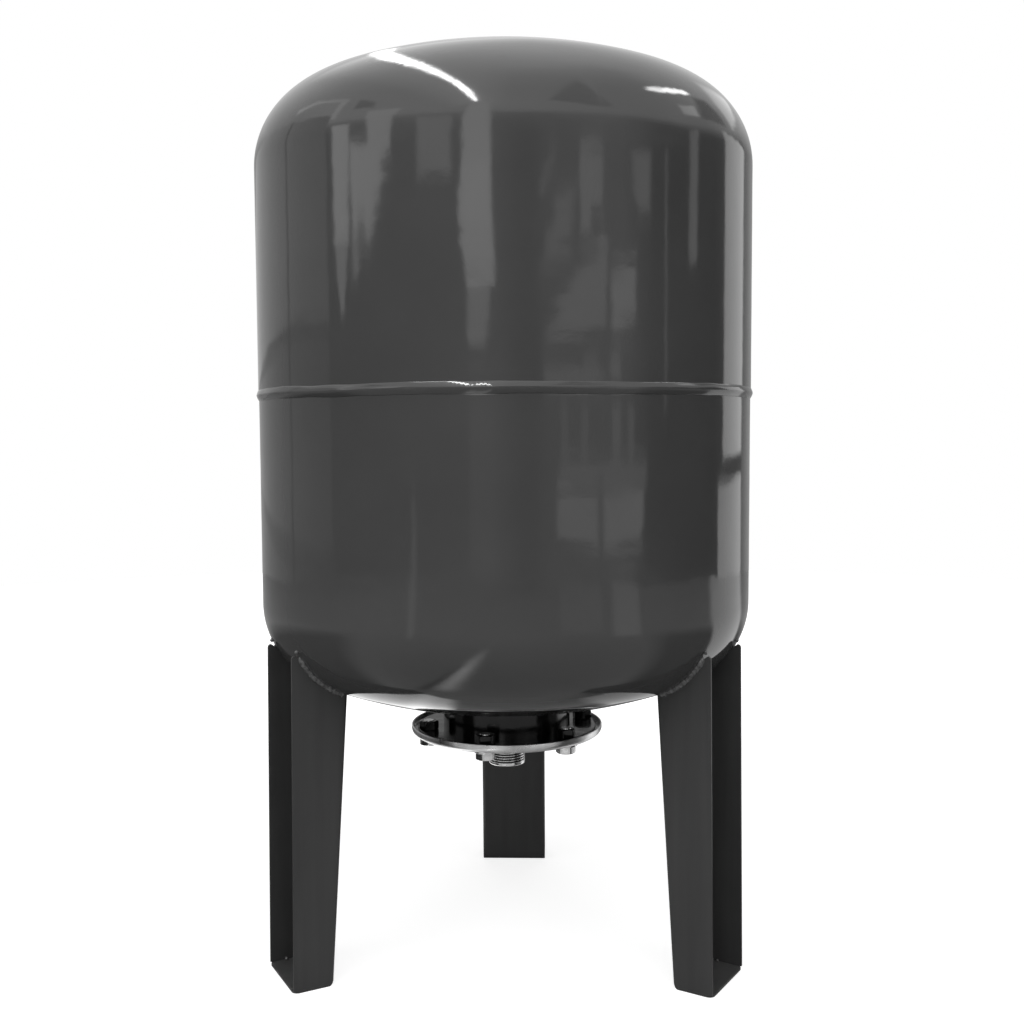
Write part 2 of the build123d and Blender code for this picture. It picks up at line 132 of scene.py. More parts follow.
class TankSizes(bpy.types.PropertyGroup):
    """Sizes that a maker would change."""
    wave_depth: length_prop("Shell waves", "Depth of the drawn shell's slight waves", 0.10, 0, 0.5)
    bead_proud: length_prop("Girth bead height", "How far the girth weld stands over the shell", 2.3, 0, 5)
    bead_width: length_prop("Girth bead width", "Width of the girth weld", 10.6, 1, 20)
    fillet_bead: length_prop("Leg bead size", "Leg length of the fillet welds on the legs", 3.6, 1, 6)
    edge_round: length_prop("Sheet edge rounding", "Rounding of the legs' cut edges", 0.2, 0, 0.9)
    thread_pitch: length_prop("Pipe thread pitch", "Pitch of the pipe thread", 2.309, 1, 4, precision=6)
    thread_depth: length_prop("Pipe thread depth", "Depth of the pipe thread", 1.35, 0.5, 2, precision=6)
    cap_ribs: bpy.props.IntProperty(
        name="Dust cap ribs", description="Number of grip ribs round the valve's dust cap", default=24,
        min=6, max=60)


class TankFinish(bpy.types.PropertyGroup):
    """Colours and gloss of the tank's finishes."""
    shell: colour_prop("Shell paint", "Colour of the glossy shell paint", 0.046)
    shell_gloss: level_prop("Shell roughness", "Roughness of the shell paint", 0.07)
    leg: colour_prop("Leg paint", "Colour of the semi-gloss leg paint", 0.044)
    black: colour_prop("Black paint", "Colour of the neck and its ring plate", 0.005)
    zinc: colour_prop("Plate zinc", "Colour of the cover plate's zinc", 0.70)
    bolt: colour_prop("Bolt zinc", "Colour of the bright zinc on bolts and pipe thread", 0.82)
    brass: colour_prop("Brass", "Colour of the air valve's brass", (0.68, 0.50, 0.22))


class TankStage(bpy.types.PropertyGroup):
    """Light levels of the studio."""
    fill: level_prop("Room light", "Even light from all round", 0.22, 2)
    key: level_prop("Soft boxes", "Level of the soft boxes over and before the tank", 1.0, 4)
    floor: colour_prop("Floor", "Colour of the floor", 0.46)


# ---------------------------------------------------------------- meshes

def grid_faces(rows, cols, wrap_rows=False, wrap_cols=False):
    """Quads between neighbouring points of a grid whose points run row by row."""
    i = np.arange(rows if wrap_rows else rows - 1)[:, None]
    j = np.arange(cols if wrap_cols else cols - 1)[None, :]
    a, b = i * cols + j, i * cols + (j + 1) % cols
    up = ((i + 1) % rows) * cols
    return np.stack([a, b, up + (j + 1) % cols, up + j], -1).reshape(-1, 4)


def surface(points, wrap_rows=False, wrap_cols=False, poles=False):
    """One grid surface as (points, faces). With poles, the first and last row each close on their middle
    point: a fan of triangles, held as quads whose last corner is -1."""
    rows, cols = points.shape[:2]
    flat = points.reshape(-1, 3)
    faces = grid_faces(rows, cols, wrap_rows, wrap_cols)
    if poles:
        j = np.arange(cols)
        nxt = (j + 1) % cols
        first = np.stack([np.full(cols, rows * cols), nxt, j, np.full(cols, -1)], -1)
        end = (rows - 1) * cols
        last = np.stack([np.full(cols, rows * cols + 1), end + j, end + nxt, np.full(cols, -1)], -1)
        flat = np.vstack([flat, points[0].mean(0), points[-1].mean(0)])
        faces = np.vstack([faces, first, last])
    return outward(flat, faces)


def outward(points, faces):
    """The faces turned so that the closed surface's volume, the sum of its faces' tetrahedra with the
    origin, is positive."""
    a, b, c = points[faces[:, 0]], points[faces[:, 1]], points[faces[:, 2]]
    d = np.where(faces[:, 3:4] < 0, c, points[faces[:, 3]])
    volume = np.einsum("ij,ij->i", a, np.cross(b, c)).sum() + np.einsum("ij,ij->i", a, np.cross(c, d)).sum()
    if volume < 0:
        tri = faces[:, 3] < 0
        turned = faces[:, ::-1].copy()
        turned[tri] = np.stack([faces[tri, 2], faces[tri, 1], faces[tri, 0], faces[tri, 3]], -1)
        return points, turned
    return points, faces


def joined(*parts):
    """Several surfaces as one."""
    starts = np.cumsum([0] + [len(p) for p, _ in parts[:-1]])
    faces = [np.where(f < 0, f, f + s) for (_, f), s in zip(parts, starts)]
    return np.vstack([p for p, _ in parts]), np.vstack(faces)


def turned_about(part, angle):
    """A surface turned about the tank's axis by an angle in radians."""
    points, faces = part
    c, s = math.cos(angle), math.sin(angle)
    return points @ np.array([[c, s, 0], [-s, c, 0], [0, 0, 1]]), faces


def moved(part, x, y):
    """A surface moved level."""
    return part[0] + (x, y, 0.0), part[1]


def mesh_of(name, part, sharp=35.0):
    """A smooth-shaded mesh with sharp edges where faces meet at more than the given angle."""
    points, faces = part
    size = np.where(faces[:, 3] < 0, 3, 4)
    corners = faces.reshape(-1)
    corners = corners[corners >= 0]
    mesh = bpy.data.meshes.new(name)
    mesh.vertices.add(len(points))
    mesh.vertices.foreach_set("co", points.astype(np.float32).ravel())
    mesh.loops.add(len(corners))
    mesh.loops.foreach_set("vertex_index", corners.astype(np.int32))
    mesh.polygons.add(len(size))
    mesh.polygons.foreach_set("loop_start", (np.cumsum(size) - size).astype(np.int32))
    mesh.update(calc_edges=True)
    mesh.validate()
    mesh.polygons.foreach_set("use_smooth", np.ones(len(size), bool))
    if sharp:
        mesh.set_sharp_from_angle(angle=math.radians(sharp))
    mesh.update()
    return mesh


def placed(name, data):
    """An object of the scene."""
    obj = bpy.data.objects.new(name, data)
    bpy.context.scene.collection.objects.link(obj)
    return obj


def store(mesh, name, values):
    """A number on each point of a mesh."""
    mesh.attributes.new(name, "FLOAT", "POINT").data.foreach_set("value", values.astype(np.float32).ravel())


def piece(name, part, slot, *replaces, body="tank", sharp=35.0, coat_slot=None):
    """A finished piece: its mesh, its material, made from coat_slot where given and from slot otherwise, its
    body, and the CAD nodes it stands for, which are hidden.
    """
    obj = placed(name, mesh_of(name, part, sharp))
    obj.data.materials.append(paint(coat_slot or slot))
    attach(obj, body)
    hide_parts(*replaces)
    return obj


# ---------------------------------------------------------------- curves and patterns

def span(a, b, n):
    return np.linspace(a, b, n)


def eased(a, b, n):
    """Steps from a to b that crowd towards both ends, as half a cosine wave."""
    return a + (b - a) * (1 - np.cos(span(0, math.pi, n))) / 2


def full_turn(n):
    """A row of n angles once round."""
    return span(0, TAU, n + 1)[:-1][None, :]


def ring(r, angle, z):
    """Points round the axis from radius, angle and height."""
    return np.stack(np.broadcast_arrays(r * np.cos(angle), r * np.sin(angle), z), -1)


def carried(profile, angle):
    """A profile of (radius, height) points carried round the axis."""
    return ring(profile[:, :1], angle, profile[:, 1:])


def bow(centre, radius, start, end, n):
    """An arc of n (radius, height) points, angles in degrees from the outward direction."""
    t = np.radians(span(start, end, n))
    return np.stack([centre[0] + radius * np.cos(t), centre[1] + radius * np.sin(t)], -1)


def outline(*steps):
    """A profile of (radius, height) points: corners and arcs in order and, where a straight run joins two
    of them, its number of points. A point that the next one repeats is left out, and so is a last one
    that repeats the first."""
    points = np.vstack([span(np.atleast_2d(steps[i - 1])[-1], np.atleast_2d(steps[i + 1])[0], step)
                        if isinstance(step, int) else np.atleast_2d(step) for i, step in enumerate(steps)])
    return points[np.linalg.norm(np.diff(points, axis=0, append=points[:1]), axis=1) > 1e-6]


def waves(a, b, seed, count=9, fewest=2, most=9, stretch=1.0):
    """A smooth pattern between -1 and 1: the mean of cosines with whole turns along a, which closes on
    itself, and any turns along b, each with its own phase."""
    rng = np.random.default_rng(seed)
    m = rng.integers(fewest, most + 1, count) * rng.choice([-1, 1], count)
    n = rng.uniform(-most, most, count) * stretch
    phase = rng.uniform(0, TAU, count)
    shape = (count,) + (1,) * np.broadcast(a, b).ndim
    total = np.cos(m.reshape(shape) * a + n.reshape(shape) * b + phase.reshape(shape)).sum(0)
    return total / math.sqrt(count) / 1.6


def revolved(profile, around, offset=None, closed=True):
    """A profile carried round the tank's axis, an open one closed at its ends. The offset, a number for
    each profile point and angle, is added to the radius."""
    angle, r = full_turn(around), profile[:, :1]
    if offset:
        r = r + offset(angle, profile)
    return surface(ring(r, angle, profile[:, 1:]), wrap_rows=closed, wrap_cols=True, poles=not closed)


def head_shape(radius):
    """Where a dished head's knuckle is centred: how far out, and how high over the crown's centre."""
    reach = radius - KNUCKLE_R
    return reach, math.sqrt((CROWN_R - KNUCKLE_R) ** 2 - reach ** 2)


def head(radius, inset, z_tangent, side, r_end, n_knuckle, n_crown):
    """A dished head, set in from its outside by inset, from its tangent line in to r_end: a knuckle arc,
    then a crown arc, as (radius, height) points."""
    reach, drop = head_shape(radius)
    turn = side * math.degrees(math.atan2(drop, reach))
    top = side * math.degrees(math.acos(r_end / (CROWN_R - inset)))
    return outline(bow((reach, z_tangent), KNUCKLE_R - inset, 0, turn, n_knuckle),
                   bow((0, z_tangent - side * drop), CROWN_R - inset, turn, top, n_crown))


def under_z(x, y=0.0):
    """Height of the lower shell's outside over the point (x, y), on its knuckle or its crown."""
    r = np.hypot(x, y)
    reach, drop = head_shape(LOWER_R)
    joint = reach * CROWN_R / (CROWN_R - KNUCKLE_R)
    knuckle = LOWER_TANGENT_Z - np.sqrt(np.maximum(KNUCKLE_R ** 2 - (r - reach) ** 2, 0))
    crown = LOWER_TANGENT_Z + drop - np.sqrt(CROWN_R ** 2 - np.minimum(r, joint) ** 2)
    return np.where(r > joint, knuckle, crown)


# ---------------------------------------------------------------- materials

def feed(owner, socket, value):
    """Link a node's first output, or (node, output), to the socket, or set it to a plain value."""
    source, output = value if isinstance(value, tuple) and isinstance(value[0], bpy.types.Node) else (value, 0)
    if isinstance(source, bpy.types.Node):
        owner.node_tree.links.new(source.outputs[output], socket)
    elif value is not None:
        socket.default_value = value


def add(owner, kind, *inputs, **named):
    """A node in a material's or world's tree: its settings and inputs by name, then inputs in order."""
    node = owner.node_tree.nodes.new("ShaderNode" + kind)
    for key, value in named.items():
        if key in node.bl_rna.properties:
            setattr(node, key, value)
        else:
            feed(owner, node.inputs[key], value)
    for socket, value in zip(node.inputs, inputs):
        feed(owner, socket, value)
    return node


def feed_shader(material, socket, value):
    feed(material, material.node_tree.nodes["Principled BSDF"].inputs[socket], value)


def noise(material, scale, detail=3.0, stretch=(1, 1, 1)):
    """Noise on the piece's own coordinates, stretched along each axis."""
    place = add(material, "Mapping", (add(material, "TexCoord"), "Object"), Scale=stretch)
    return add(material, "TexNoise", place, Scale=scale, Detail=detail, Roughness=0.55)


def ramp(material, source, low_at, high_at, low_value, high_value):
    """A value that goes from one number to another as the source passes between two levels."""
    return add(material, "MapRange", source, low_at, high_at, low_value, high_value)


def relief(material, source, depth, below=None):
    """A bump of the given depth, over an earlier bump where there is one."""
    bump = add(material, "Bump", Strength=1.0, Distance=depth, Height=source, Normal=below)
    feed_shader(material, "Normal", bump)
    return bump


def coat(name, colour, bumps, shade, rough, constants):
    """A finish on noise, whose scale, detail and stretch end each row. Bumps: depth in mm, one over the
    other. Shade: the colour's darker and lighter share, and the noise levels they start at. Rough: the
    roughness at noise levels 0.3 and 0.7."""
    material = bpy.data.materials.new(name)
    material.use_nodes = True
    for socket, value in constants.items():
        feed_shader(material, socket, value)
    bump = None
    for depth, *pattern in bumps:
        bump = relief(material, noise(material, *pattern), depth * MM, bump)
    dark, light, start, end, *pattern = shade
    share = ramp(material, noise(material, *pattern), start, end, 0, 1)
    ends = [(*[min(1, c * by) for c in colour], 1) for by in (dark, light)]
    mix = add(material, "Mix", share, data_type="RGBA", A=ends[0], B=ends[1])
    feed_shader(material, "Base Color", (mix, "Result"))
    smooth, dull, *pattern = rough
    feed_shader(material, "Roughness", ramp(material, noise(material, *pattern), 0.3, 0.7, smooth, dull))
    return material


def coats(look):
    """The finish of each slot, as coat() takes it."""
    return {
        # glossy stoved enamel: fine orange peel over long soft waves, uneven gloss
        "shell_paint": (look.shell, ((0.10, 38, 1), (0.012, 330, 2)), (0.92, 1.08, 0.3, 0.7, 9, 4),
                        (look.shell_gloss * 0.75, look.shell_gloss * 1.3, 22, 5), {"IOR": 1.5}),
        # semi-gloss powder coat: fine grain, faint drawing streaks along the sheet, rubbed spots
        "leg_paint": (look.leg, ((0.04, 160, 2), (0.02, 1100, 2)),
                      (0.88, 1.12, 0.3, 0.7, 60, 4, (1, 1, 0.06)), (0.36, 0.50, 45, 5),
                      {"IOR": 1.5, "Specular IOR Level": 0.25}),
        # the legs' coat run smooth over the weld beads: glossier, with small lumps, and 1.3 to 2.8 times
        # lighter than the legs in a mottle, a painted highlight of the lumps' glints
        "leg_bead": (look.leg, ((0.12, 420, 2),), (1.3, 2.8, 0.35, 0.65, 420, 2), (0.08, 0.18, 200, 3),
                     {"IOR": 1.5}),
        # gloss black enamel with runs and dimples, brushed on
        "black_paint": (look.black, ((0.35, 55, 2, (1, 1, 0.5)), (0.05, 240, 3)), (0.7, 1.5, 0, 1, 60, 3),
                        (0.08, 0.22, 90, 4), {"IOR": 1.5, "Specular IOR Level": 0.42}),
        # bright zinc over spun steel: cloudy patches and small stains
        "zinc_plate": (look.zinc, (), (0.72, 1.12, 0.32, 0.68, 45, 5), (0.24, 0.40, 120, 4), {"Metallic": 1}),
        # bright zinc on forged and cut steel: small pits and uneven brightness
        "bolt_zinc": (look.bolt, ((0.03, 900, 3),), (0.75, 1.1, 0.3, 0.7, 180, 4), (0.10, 0.22, 400, 3),
                      {"Metallic": 1}),
        # turned brass: fine tool rings across the axis and light tarnish
        "brass": (look.brass, ((0.01, 700, 2, (0.02, 0.02, 6)),), (0.7, 1.05, 0.3, 0.7, 260, 4),
                  (0.20, 0.36, 260, 4), {"Metallic": 1}),
        # moulded black plastic with a fine spark texture
        "cap_plastic": ((0.018,) * 3, ((0.02, 2600, 2),), (0.8, 1.3, 0, 1, 300, 3), (0.38, 0.55, 500, 3),
                        {"IOR": 1.49}),
        # matt black rubber with moulding talc left on it
        "rubber": ((0.03,) * 3, ((0.08, 500, 3),), (0.8, 2.6, 0.45, 0.75, 35, 6), (0.62, 0.85, 35, 6),
                   {"IOR": 1.5}),
    }


def spun_rings(material):
    """Fine rings from spinning: noise read at (distance from the axis, height), so that each ring has
    one value, broken up slowly along the ring."""
    split = add(material, "SeparateXYZ", (add(material, "TexCoord"), "Object"))
    flat = add(material, "CombineXYZ", (split, "X"), (split, "Y"))
    far = add(material, "VectorMath", flat, operation="LENGTH")
    rings = add(material, "CombineXYZ", (far, "Value"), 0.0, (split, "Z"))
    slow = add(material, "VectorMath", flat, (0.012, 0.012, 0.0), rings, operation="MULTIPLY_ADD")
    relief(material, add(material, "TexNoise", slow, Scale=2600, Detail=4.0, Roughness=0.6), 0.015 * MM)


def thread_root_shade(material):
    """Painted shade in the thread roots: the plated colour darkened towards near black by the share stored on
    the points.
    """
    plated = material.node_tree.nodes["Principled BSDF"].inputs["Base Color"].links[0].from_node
    root = add(material, "Attribute", attribute_name="root")
    root_shade = add(material, "Mix", (root, "Fac"), data_type="RGBA", A=(plated, "Result"), B=(0.02, 0.02, 0.02, 1))
    feed_shader(material, "Base Color", (root_shade, "Result"))


EXTRAS = {"zinc_plate": spun_rings, "bolt_zinc": thread_root_shade}


def paint(slot):
    """The material of a slot, made once."""
    name = "tank_" + slot
    if name not in bpy.data.materials:
        material = coat(name, *coats(bpy.context.scene.tank_finish)[slot])
        if slot in EXTRAS:
            EXTRAS[slot](material)
    return bpy.data.materials[name]


# ---------------------------------------------------------------- shell

def shell_offset(first, last, seed, fade_low, fade_high):
    """Inward waves on the outside rows from first to last: smooth patterns that fade out towards the
    given heights, at the weld and at the hole."""
    depth, fade_over = bpy.context.scene.tank_sizes.wave_depth, 20 * MM

    def offset(angle, profile):
        z = profile[:, 1:]
        rows = np.arange(len(profile))[:, None]
        fade = np.clip((z - fade_low) / fade_over, 0, 1) * np.clip((fade_high - z) / fade_over, 0, 1)
        long_waves = waves(angle, z * 40, seed, 12, 2, 7, 1.0)
        short_waves = waves(angle, z * 120, seed + 1, 12, 6, 16, 0.6)
        swell = np.clip(0.7 * long_waves + 0.3 * short_waves, -1, 1)
        return -depth * (0.5 + 0.5 * swell) * fade * ((rows >= first) & (rows < last))
    return offset


def upper_shell():
    """The upper half's wall: cylinder and dished head outside, and the same set in by the wall's
    thickness inside, carried round the axis."""
    outside = outline((SHELL_R, SEAM_Z), 46, head(SHELL_R, 0, UPPER_TANGENT_Z, 1, BOSS_R, 36, 46))
    inside = outline((SHELL_R - SHELL_T, SEAM_Z), 6, head(SHELL_R, SHELL_T, UPPER_TANGENT_Z, 1, BOSS_R, 12, 12))
    return revolved(np.vstack([outside, inside[::-1]]), 400,
                    shell_offset(0, len(outside), 11, SEAM_Z, UPPER_TANGENT_Z + 95 * MM))


def lower_shell():
    """The lower half's wall: rim necked in by the wall's thickness, cylinder and dished bottom with
    the neck's hole, carried round the axis."""
    lap_r, hole_r = SHELL_R - SHELL_T, NECK_R - NECK_T
    lap_z, step_z = SEAM_Z + 12 * MM, SEAM_Z - 2 * MM
    outside = outline((lap_r, lap_z), 3, (lap_r, SEAM_Z), 3, (LOWER_R, step_z), 44,
                      head(LOWER_R, 0, LOWER_TANGENT_Z, -1, hole_r, 36, 34))
    inside = outline((lap_r - SHELL_T, lap_z), 2, (lap_r - SHELL_T, SEAM_Z), (LOWER_R - SHELL_T, step_z), 6,
                     head(LOWER_R, SHELL_T, LOWER_TANGENT_Z, -1, hole_r, 12, 12))
    rim_rows = 6
    return revolved(np.vstack([outside, inside[::-1]]), 400,
                    shell_offset(rim_rows, len(outside), 23, LOWER_TANGENT_Z - 80 * MM, SEAM_Z - 3 * MM))


def girth_bead():
    """The bead over the seam: across, a low roof with rounded foot and ridge, part sine and part straight
    flanks; round, a height and width that drift, with faint close ripples from the torch and one lump
    where the weld starts and stops."""
    sizes = bpy.context.scene.tank_sizes
    angle, v = full_turn(1440), span(0, 1, 17)[:, None]
    gap = (angle - math.radians(-88.5) + math.pi) % TAU - math.pi
    lump = np.exp(-(gap / 0.035) ** 2) - 0.8 * np.exp(-((gap + 0.075) / 0.03) ** 2)
    ripple = 0.5 + 0.5 * np.cos(angle * 430 + 1.2 * waves(angle, 0, 5, 10, 3, 20) - 2.2 * v)
    drift = waves(angle, 0, 31, 14, 5, 40)
    height = sizes.bead_proud * np.clip(0.84 + 0.12 * drift + 0.18 * lump + 0.02 * ripple, 0.35, 1.0)
    half = sizes.bead_width / 2 * (0.93 + 0.06 * waves(angle, 0, 47, 14, 6, 50) + 0.05 * lump)
    middle = SEAM_Z + 0.5 * MM * waves(angle, 0, 53, 9, 2, 12)
    arch = 0.35 * np.sin(math.pi * v) ** 0.8 + 0.65 * (1 - np.abs(2 * v - 1) ** 1.3)
    r = SHELL_R + (LOWER_R - SHELL_R) * v - 0.15 * MM * (1 - arch) + height * arch
    top = ring(r, angle, middle + half * (1 - 2 * v))
    back = ring(SHELL_R - 1.2 * MM, angle, middle + half * np.array([[-0.7], [0.0], [0.7]]))
    return surface(np.vstack([top, back]), wrap_rows=True, wrap_cols=True)


# ---------------------------------------------------------------- legs

def leg_columns():
    """Stations across the folded sheet's middle surface, from one flange's outer edge round both bends
    to the other's: for each its place x, how far it is along the flange (1 at the outer edge, 0 at the
    bend) and the bend's share of a quarter turn."""
    flange = np.r_[1 - eased(0, 0.12, 7)[:-1], span(0.88, 0, 12)]
    bend = span(0, 1, 8)[1:]
    web = span(-1, 1, 21)
    share = np.r_[np.zeros(len(flange)), bend, np.ones(len(web) - 2), bend[::-1], np.zeros(len(flange))]
    out = np.r_[flange, np.zeros(2 * len(bend) + len(web) - 2), flange[::-1]]
    across = np.r_[-np.ones(len(flange) + len(bend)), web[1:-1], np.ones(len(flange) + len(bend))]
    return across, out, share


def channel_xy(across, out, share, z):
    """Middle surface at height z: the web leans outwards towards the floor, each bend is a quarter
    arc, each flange runs straight out to the leg's edge, which leans out a little as well."""
    radius = WEB_BEND
    web_y = WEB_FLOOR_R + (WEB_TOP_R - WEB_FLOOR_R) * z / WEB_TOP_Z + LEG_T / 2
    edge_y = LEG_FLOOR_R + (LEG_TOP_R - LEG_FLOOR_R) * z / EAR_TOP_Z
    half = LEG_W / 2 - LEG_T / 2
    side = np.sign(across)
    flat = (np.abs(across) < 1) | (share >= 1)
    x_web = across * (half - radius)
    turn = share * math.pi / 2
    x_bend = side * (half - radius + radius * np.cos(turn))
    y_bend = web_y + radius * (1 - np.sin(turn))
    y_flange = web_y + radius + (edge_y - web_y - radius) * out
    x = np.where(flat, x_web, x_bend)
    y = np.where(flat, web_y, np.where(out > 0, y_flange, y_bend))
    return x, y


def ear_top(y):
    """Height of the ear's edge: a slope up to its flat, then a rounded outer corner."""
    slope = EAR_TOP_Z - np.maximum(LEG_TOP_R - 2.8 * MM - y, 0) * 0.75
    into = np.clip(y - (LEG_TOP_R - EAR_CORNER), 0, EAR_CORNER)
    return slope - (EAR_CORNER - np.sqrt(np.maximum(EAR_CORNER ** 2 - into ** 2, 0)))


def leg_sheet():
    """The rear leg's folded sheet as two grids that share the web's lower row: the channel, from the
    foot up to the shell's underside or the ear, and the foot, a quarter bend and a flat plate whose
    outer corners are rounded."""
    across, out, share = leg_columns()
    z_low = np.where(share >= 1, FOOT_BEND_Z, LEG_T + 0.05 * MM + (2.45 * MM) * share)
    z_top = np.full(len(across), WEB_TOP_Z)
    for _ in range(6):
        x, y = channel_xy(across, out, share, z_top)
        z_top = np.minimum(under_z(x, y) + 0.3 * MM, ear_top(y))
    v = np.r_[0, eased(0.012, 0.985, 40), 1][:, None]
    z = z_low + (z_top - z_low) * v
    x, y = channel_xy(across, out, share, z)
    channel = np.stack(np.broadcast_arrays(x, y, z), -1)
    rows, cols = z.shape
    web = np.flatnonzero(share >= 1)
    turn = span(0, math.pi / 2, 7)[1:, None]
    x0, y0 = channel[0, web, 0][None, :], channel[0, web, 1][None, :]
    bend_y = y0 + FOOT_BEND * (1 - np.cos(turn))
    bend_z = FOOT_BEND_Z - FOOT_BEND * np.sin(turn) + 0 * x0
    plate_y = np.r_[span(188.5 * MM, 211.5 * MM, 12), eased(213 * MM, FOOT_R, 11)][:, None]
    corner = np.clip(plate_y - (FOOT_R - FOOT_CORNER), 0, FOOT_CORNER)
    half = LEG_W / 2 - FOOT_CORNER + np.sqrt(np.maximum(FOOT_CORNER ** 2 - corner ** 2, 0))
    widen = 1 + span(0, 1, 7)[1:, None] * (LEG_W / 2 / np.abs(x0).max() - 1)
    foot_x = np.vstack([x0 * widen, x0 / np.abs(x0).max() * half])
    foot_y = np.vstack([bend_y + 0 * x0, plate_y + 0 * x0])
    foot_z = np.vstack([bend_z, np.full((len(plate_y), len(web)), LEG_T / 2)])
    foot = np.stack([foot_x, foot_y, foot_z], -1)
    points = np.vstack([channel.reshape(-1, 3), foot.reshape(-1, 3)])
    faces = grid_faces(rows, cols)
    index = rows * cols + np.arange(foot.shape[0] * len(web)).reshape(foot.shape[0], -1)
    index = np.vstack([web[None, :], index])
    foot_faces = np.stack([index[:-1, :-1], index[1:, :-1], index[1:, 1:], index[:-1, 1:]], -1).reshape(-1, 4)
    return points, np.vstack([faces, foot_faces])


def bead_rope(start, end, radius, seed, side):
    """A fillet bead along the line where a flange's outer face meets the shell: a fan of points about
    the joint, from the leg's face to the shell, whose reach ripples and drifts; its ends taper in."""
    t = span(0, 1, 150)[:, None]
    x, y = LEG_W / 2, start + (end - start) * t
    z = under_z(x, y)
    slope = (under_z(x, y + 0.1 * MM) - under_z(x, y - 0.1 * MM)) / (0.2 * MM)
    down = np.stack([0 * slope, slope, -np.ones_like(slope)], -1) / np.sqrt(1 + slope ** 2)[..., None]
    fan = np.radians(span(-24, 104, 12))[None, :]
    taper = np.clip(np.sqrt(np.minimum(t, 1 - t) * 22), 0.25, 1)
    rng = np.random.default_rng(seed)
    ripple = 0.07 * np.cos(t * rng.uniform(72, 90) + fan * 1.5)
    lumps = 0.22 * waves(t * 3.0, 0, seed, 10, 3, 16) + 0.14 * waves(t * 9, fan * 2, seed + 3, 8, 2, 9)
    reach = radius * taper * np.clip(0.80 + ripple + lumps, 0.4, 1.0)
    outwards = np.array([1.0, 0, 0])
    joint = np.stack([np.full_like(y, x), y, z], -1)
    skin = joint + reach[..., None] * (np.cos(fan)[..., None] * outwards + np.sin(fan)[..., None] * down)
    under = joint - taper[..., None] * 0.9 * MM * (outwards + down)
    points = np.concatenate([skin, under], 1)
    points[..., 0] *= side
    return surface(points, wrap_cols=True, poles=True)


def dab(x, y, z, radius, seed):
    """A small tack of weld: a ball whose radius drifts with angle."""
    u, v = full_turn(24), span(0.15, math.pi - 0.15, 12)[:, None]
    r = radius * (0.86 + 0.12 * waves(u, v * 2, seed, 8, 1, 5))
    return surface(ring(r * np.sin(v), u, r * np.cos(v)) + (x, y, z), wrap_cols=True, poles=True)


# ---------------------------------------------------------------- neck, ring plate, cover plate

def neck_collar():
    """The short tube under the shell, its upper rim on the dished head, carried round the
    axis."""
    r_in, top = NECK_R - NECK_T, float(under_z(NECK_R))
    inner_top = float(under_z(r_in))
    return revolved(outline((NECK_R, RING_TOP_Z), 14, (NECK_R, top - 2.5 * MM), (NECK_R, top), 4,
                            (r_in, inner_top), 6, (r_in, RING_TOP_Z), 3, (NECK_R, RING_TOP_Z)), 288)


def ring_plate():
    """The black ring plate: a flat ring with rounded outer edges, carried round the axis."""
    r_out, r_in, low_edge, top_edge = high("neck_flange").x, NECK_R - NECK_T, 0.3 * MM, 1.0 * MM
    return revolved(outline((r_in, RING_LOW_Z), 8,
                            bow((r_out - low_edge, RING_LOW_Z + low_edge), low_edge, -90, 0, 4),
                            bow((r_out - top_edge, RING_TOP_Z - top_edge), top_edge, 0, 90, 8), 10,
                            (r_in, RING_TOP_Z), 3, (r_in, RING_LOW_Z)), 288)


def cover_plate():
    """The pressed plate: flat floor, rounded corner, upright lip with a rounded, slightly uneven hem,
    carried round the axis."""
    r, t, lip = high("cover_plate").x, COVER_T, high("cover_plate").z - COVER_T / 2
    corner, seat = 5 * MM, 17.0 * MM
    centre = (r - corner, PLATE_Z + corner)
    profile = outline((seat, PLATE_Z), 26, bow(centre, corner, -90, 0, 14), 4,
                      bow((r - t / 2, lip), t / 2, 0, 180, 12), 4, bow(centre, corner - t, 0, -90, 9), 16,
                      (seat, PLATE_Z + t), 2, (seat, PLATE_Z))

    def uneven(angle, rows):
        rise = np.clip((rows[:, 1:] - PLATE_Z - 2 * MM) / (6 * MM), 0, 1)
        return -0.16 * MM * rise * (0.5 + 0.5 * waves(angle, 0, 71, 12, 2, 11))
    return revolved(profile, 384, uneven)


# ---------------------------------------------------------------- bolts, nuts, threads

def hex_reach(angle, flats):
    """Distance from the axis to a hexagon's side in each direction, its corners rounded off: the side's
    half width over the cosine of the angle from that side's middle, held under a soft limit."""
    off = (angle + math.pi / 6) % (math.pi / 3) - math.pi / 6
    sharp = flats / 2 / np.cos(off)
    soft = 0.9 * MM
    limit = flats / math.sqrt(3) - soft * 0.3
    return -soft * 0.25 * np.log(np.exp(-sharp / (soft * 0.25)) + np.exp(-limit / (soft * 0.25)))


def hex_body(flats, z_low, z_high, low_bevel, high_bevel, turn, hole=0.0):
    """A hexagon with turned ends: the reach in each direction is the lesser of the hexagon's side and
    a cone at 30 degrees that starts at each bevelled end's face circle."""
    angle, face, slope = full_turn(144), flats / 2 * 0.95, math.tan(math.radians(30))
    bevel = eased(0.0, 0.16, 8)
    z = z_low + (z_high - z_low) * np.r_[0, bevel[1:], span(0.16, 0.84, 5)[1:-1], 1 - bevel[:0:-1], 1][:, None]
    r = hex_reach(angle - math.radians(turn + 30), flats) + 0 * z
    if low_bevel:
        r = np.minimum(r, face + (z - z_low) / slope)
    if high_bevel:
        r = np.minimum(r, face + (z_high - z) / slope)
    inner, outer = hole or face * 0.5, face * 0.9
    return surface(np.vstack([ring(inner, angle, z_low), ring(outer, angle, z_low), ring(r, angle, z),
                              ring(outer, angle, z_high), ring(inner, angle, z_high)]),
                   wrap_rows=bool(hole), wrap_cols=True, poles=not hole)


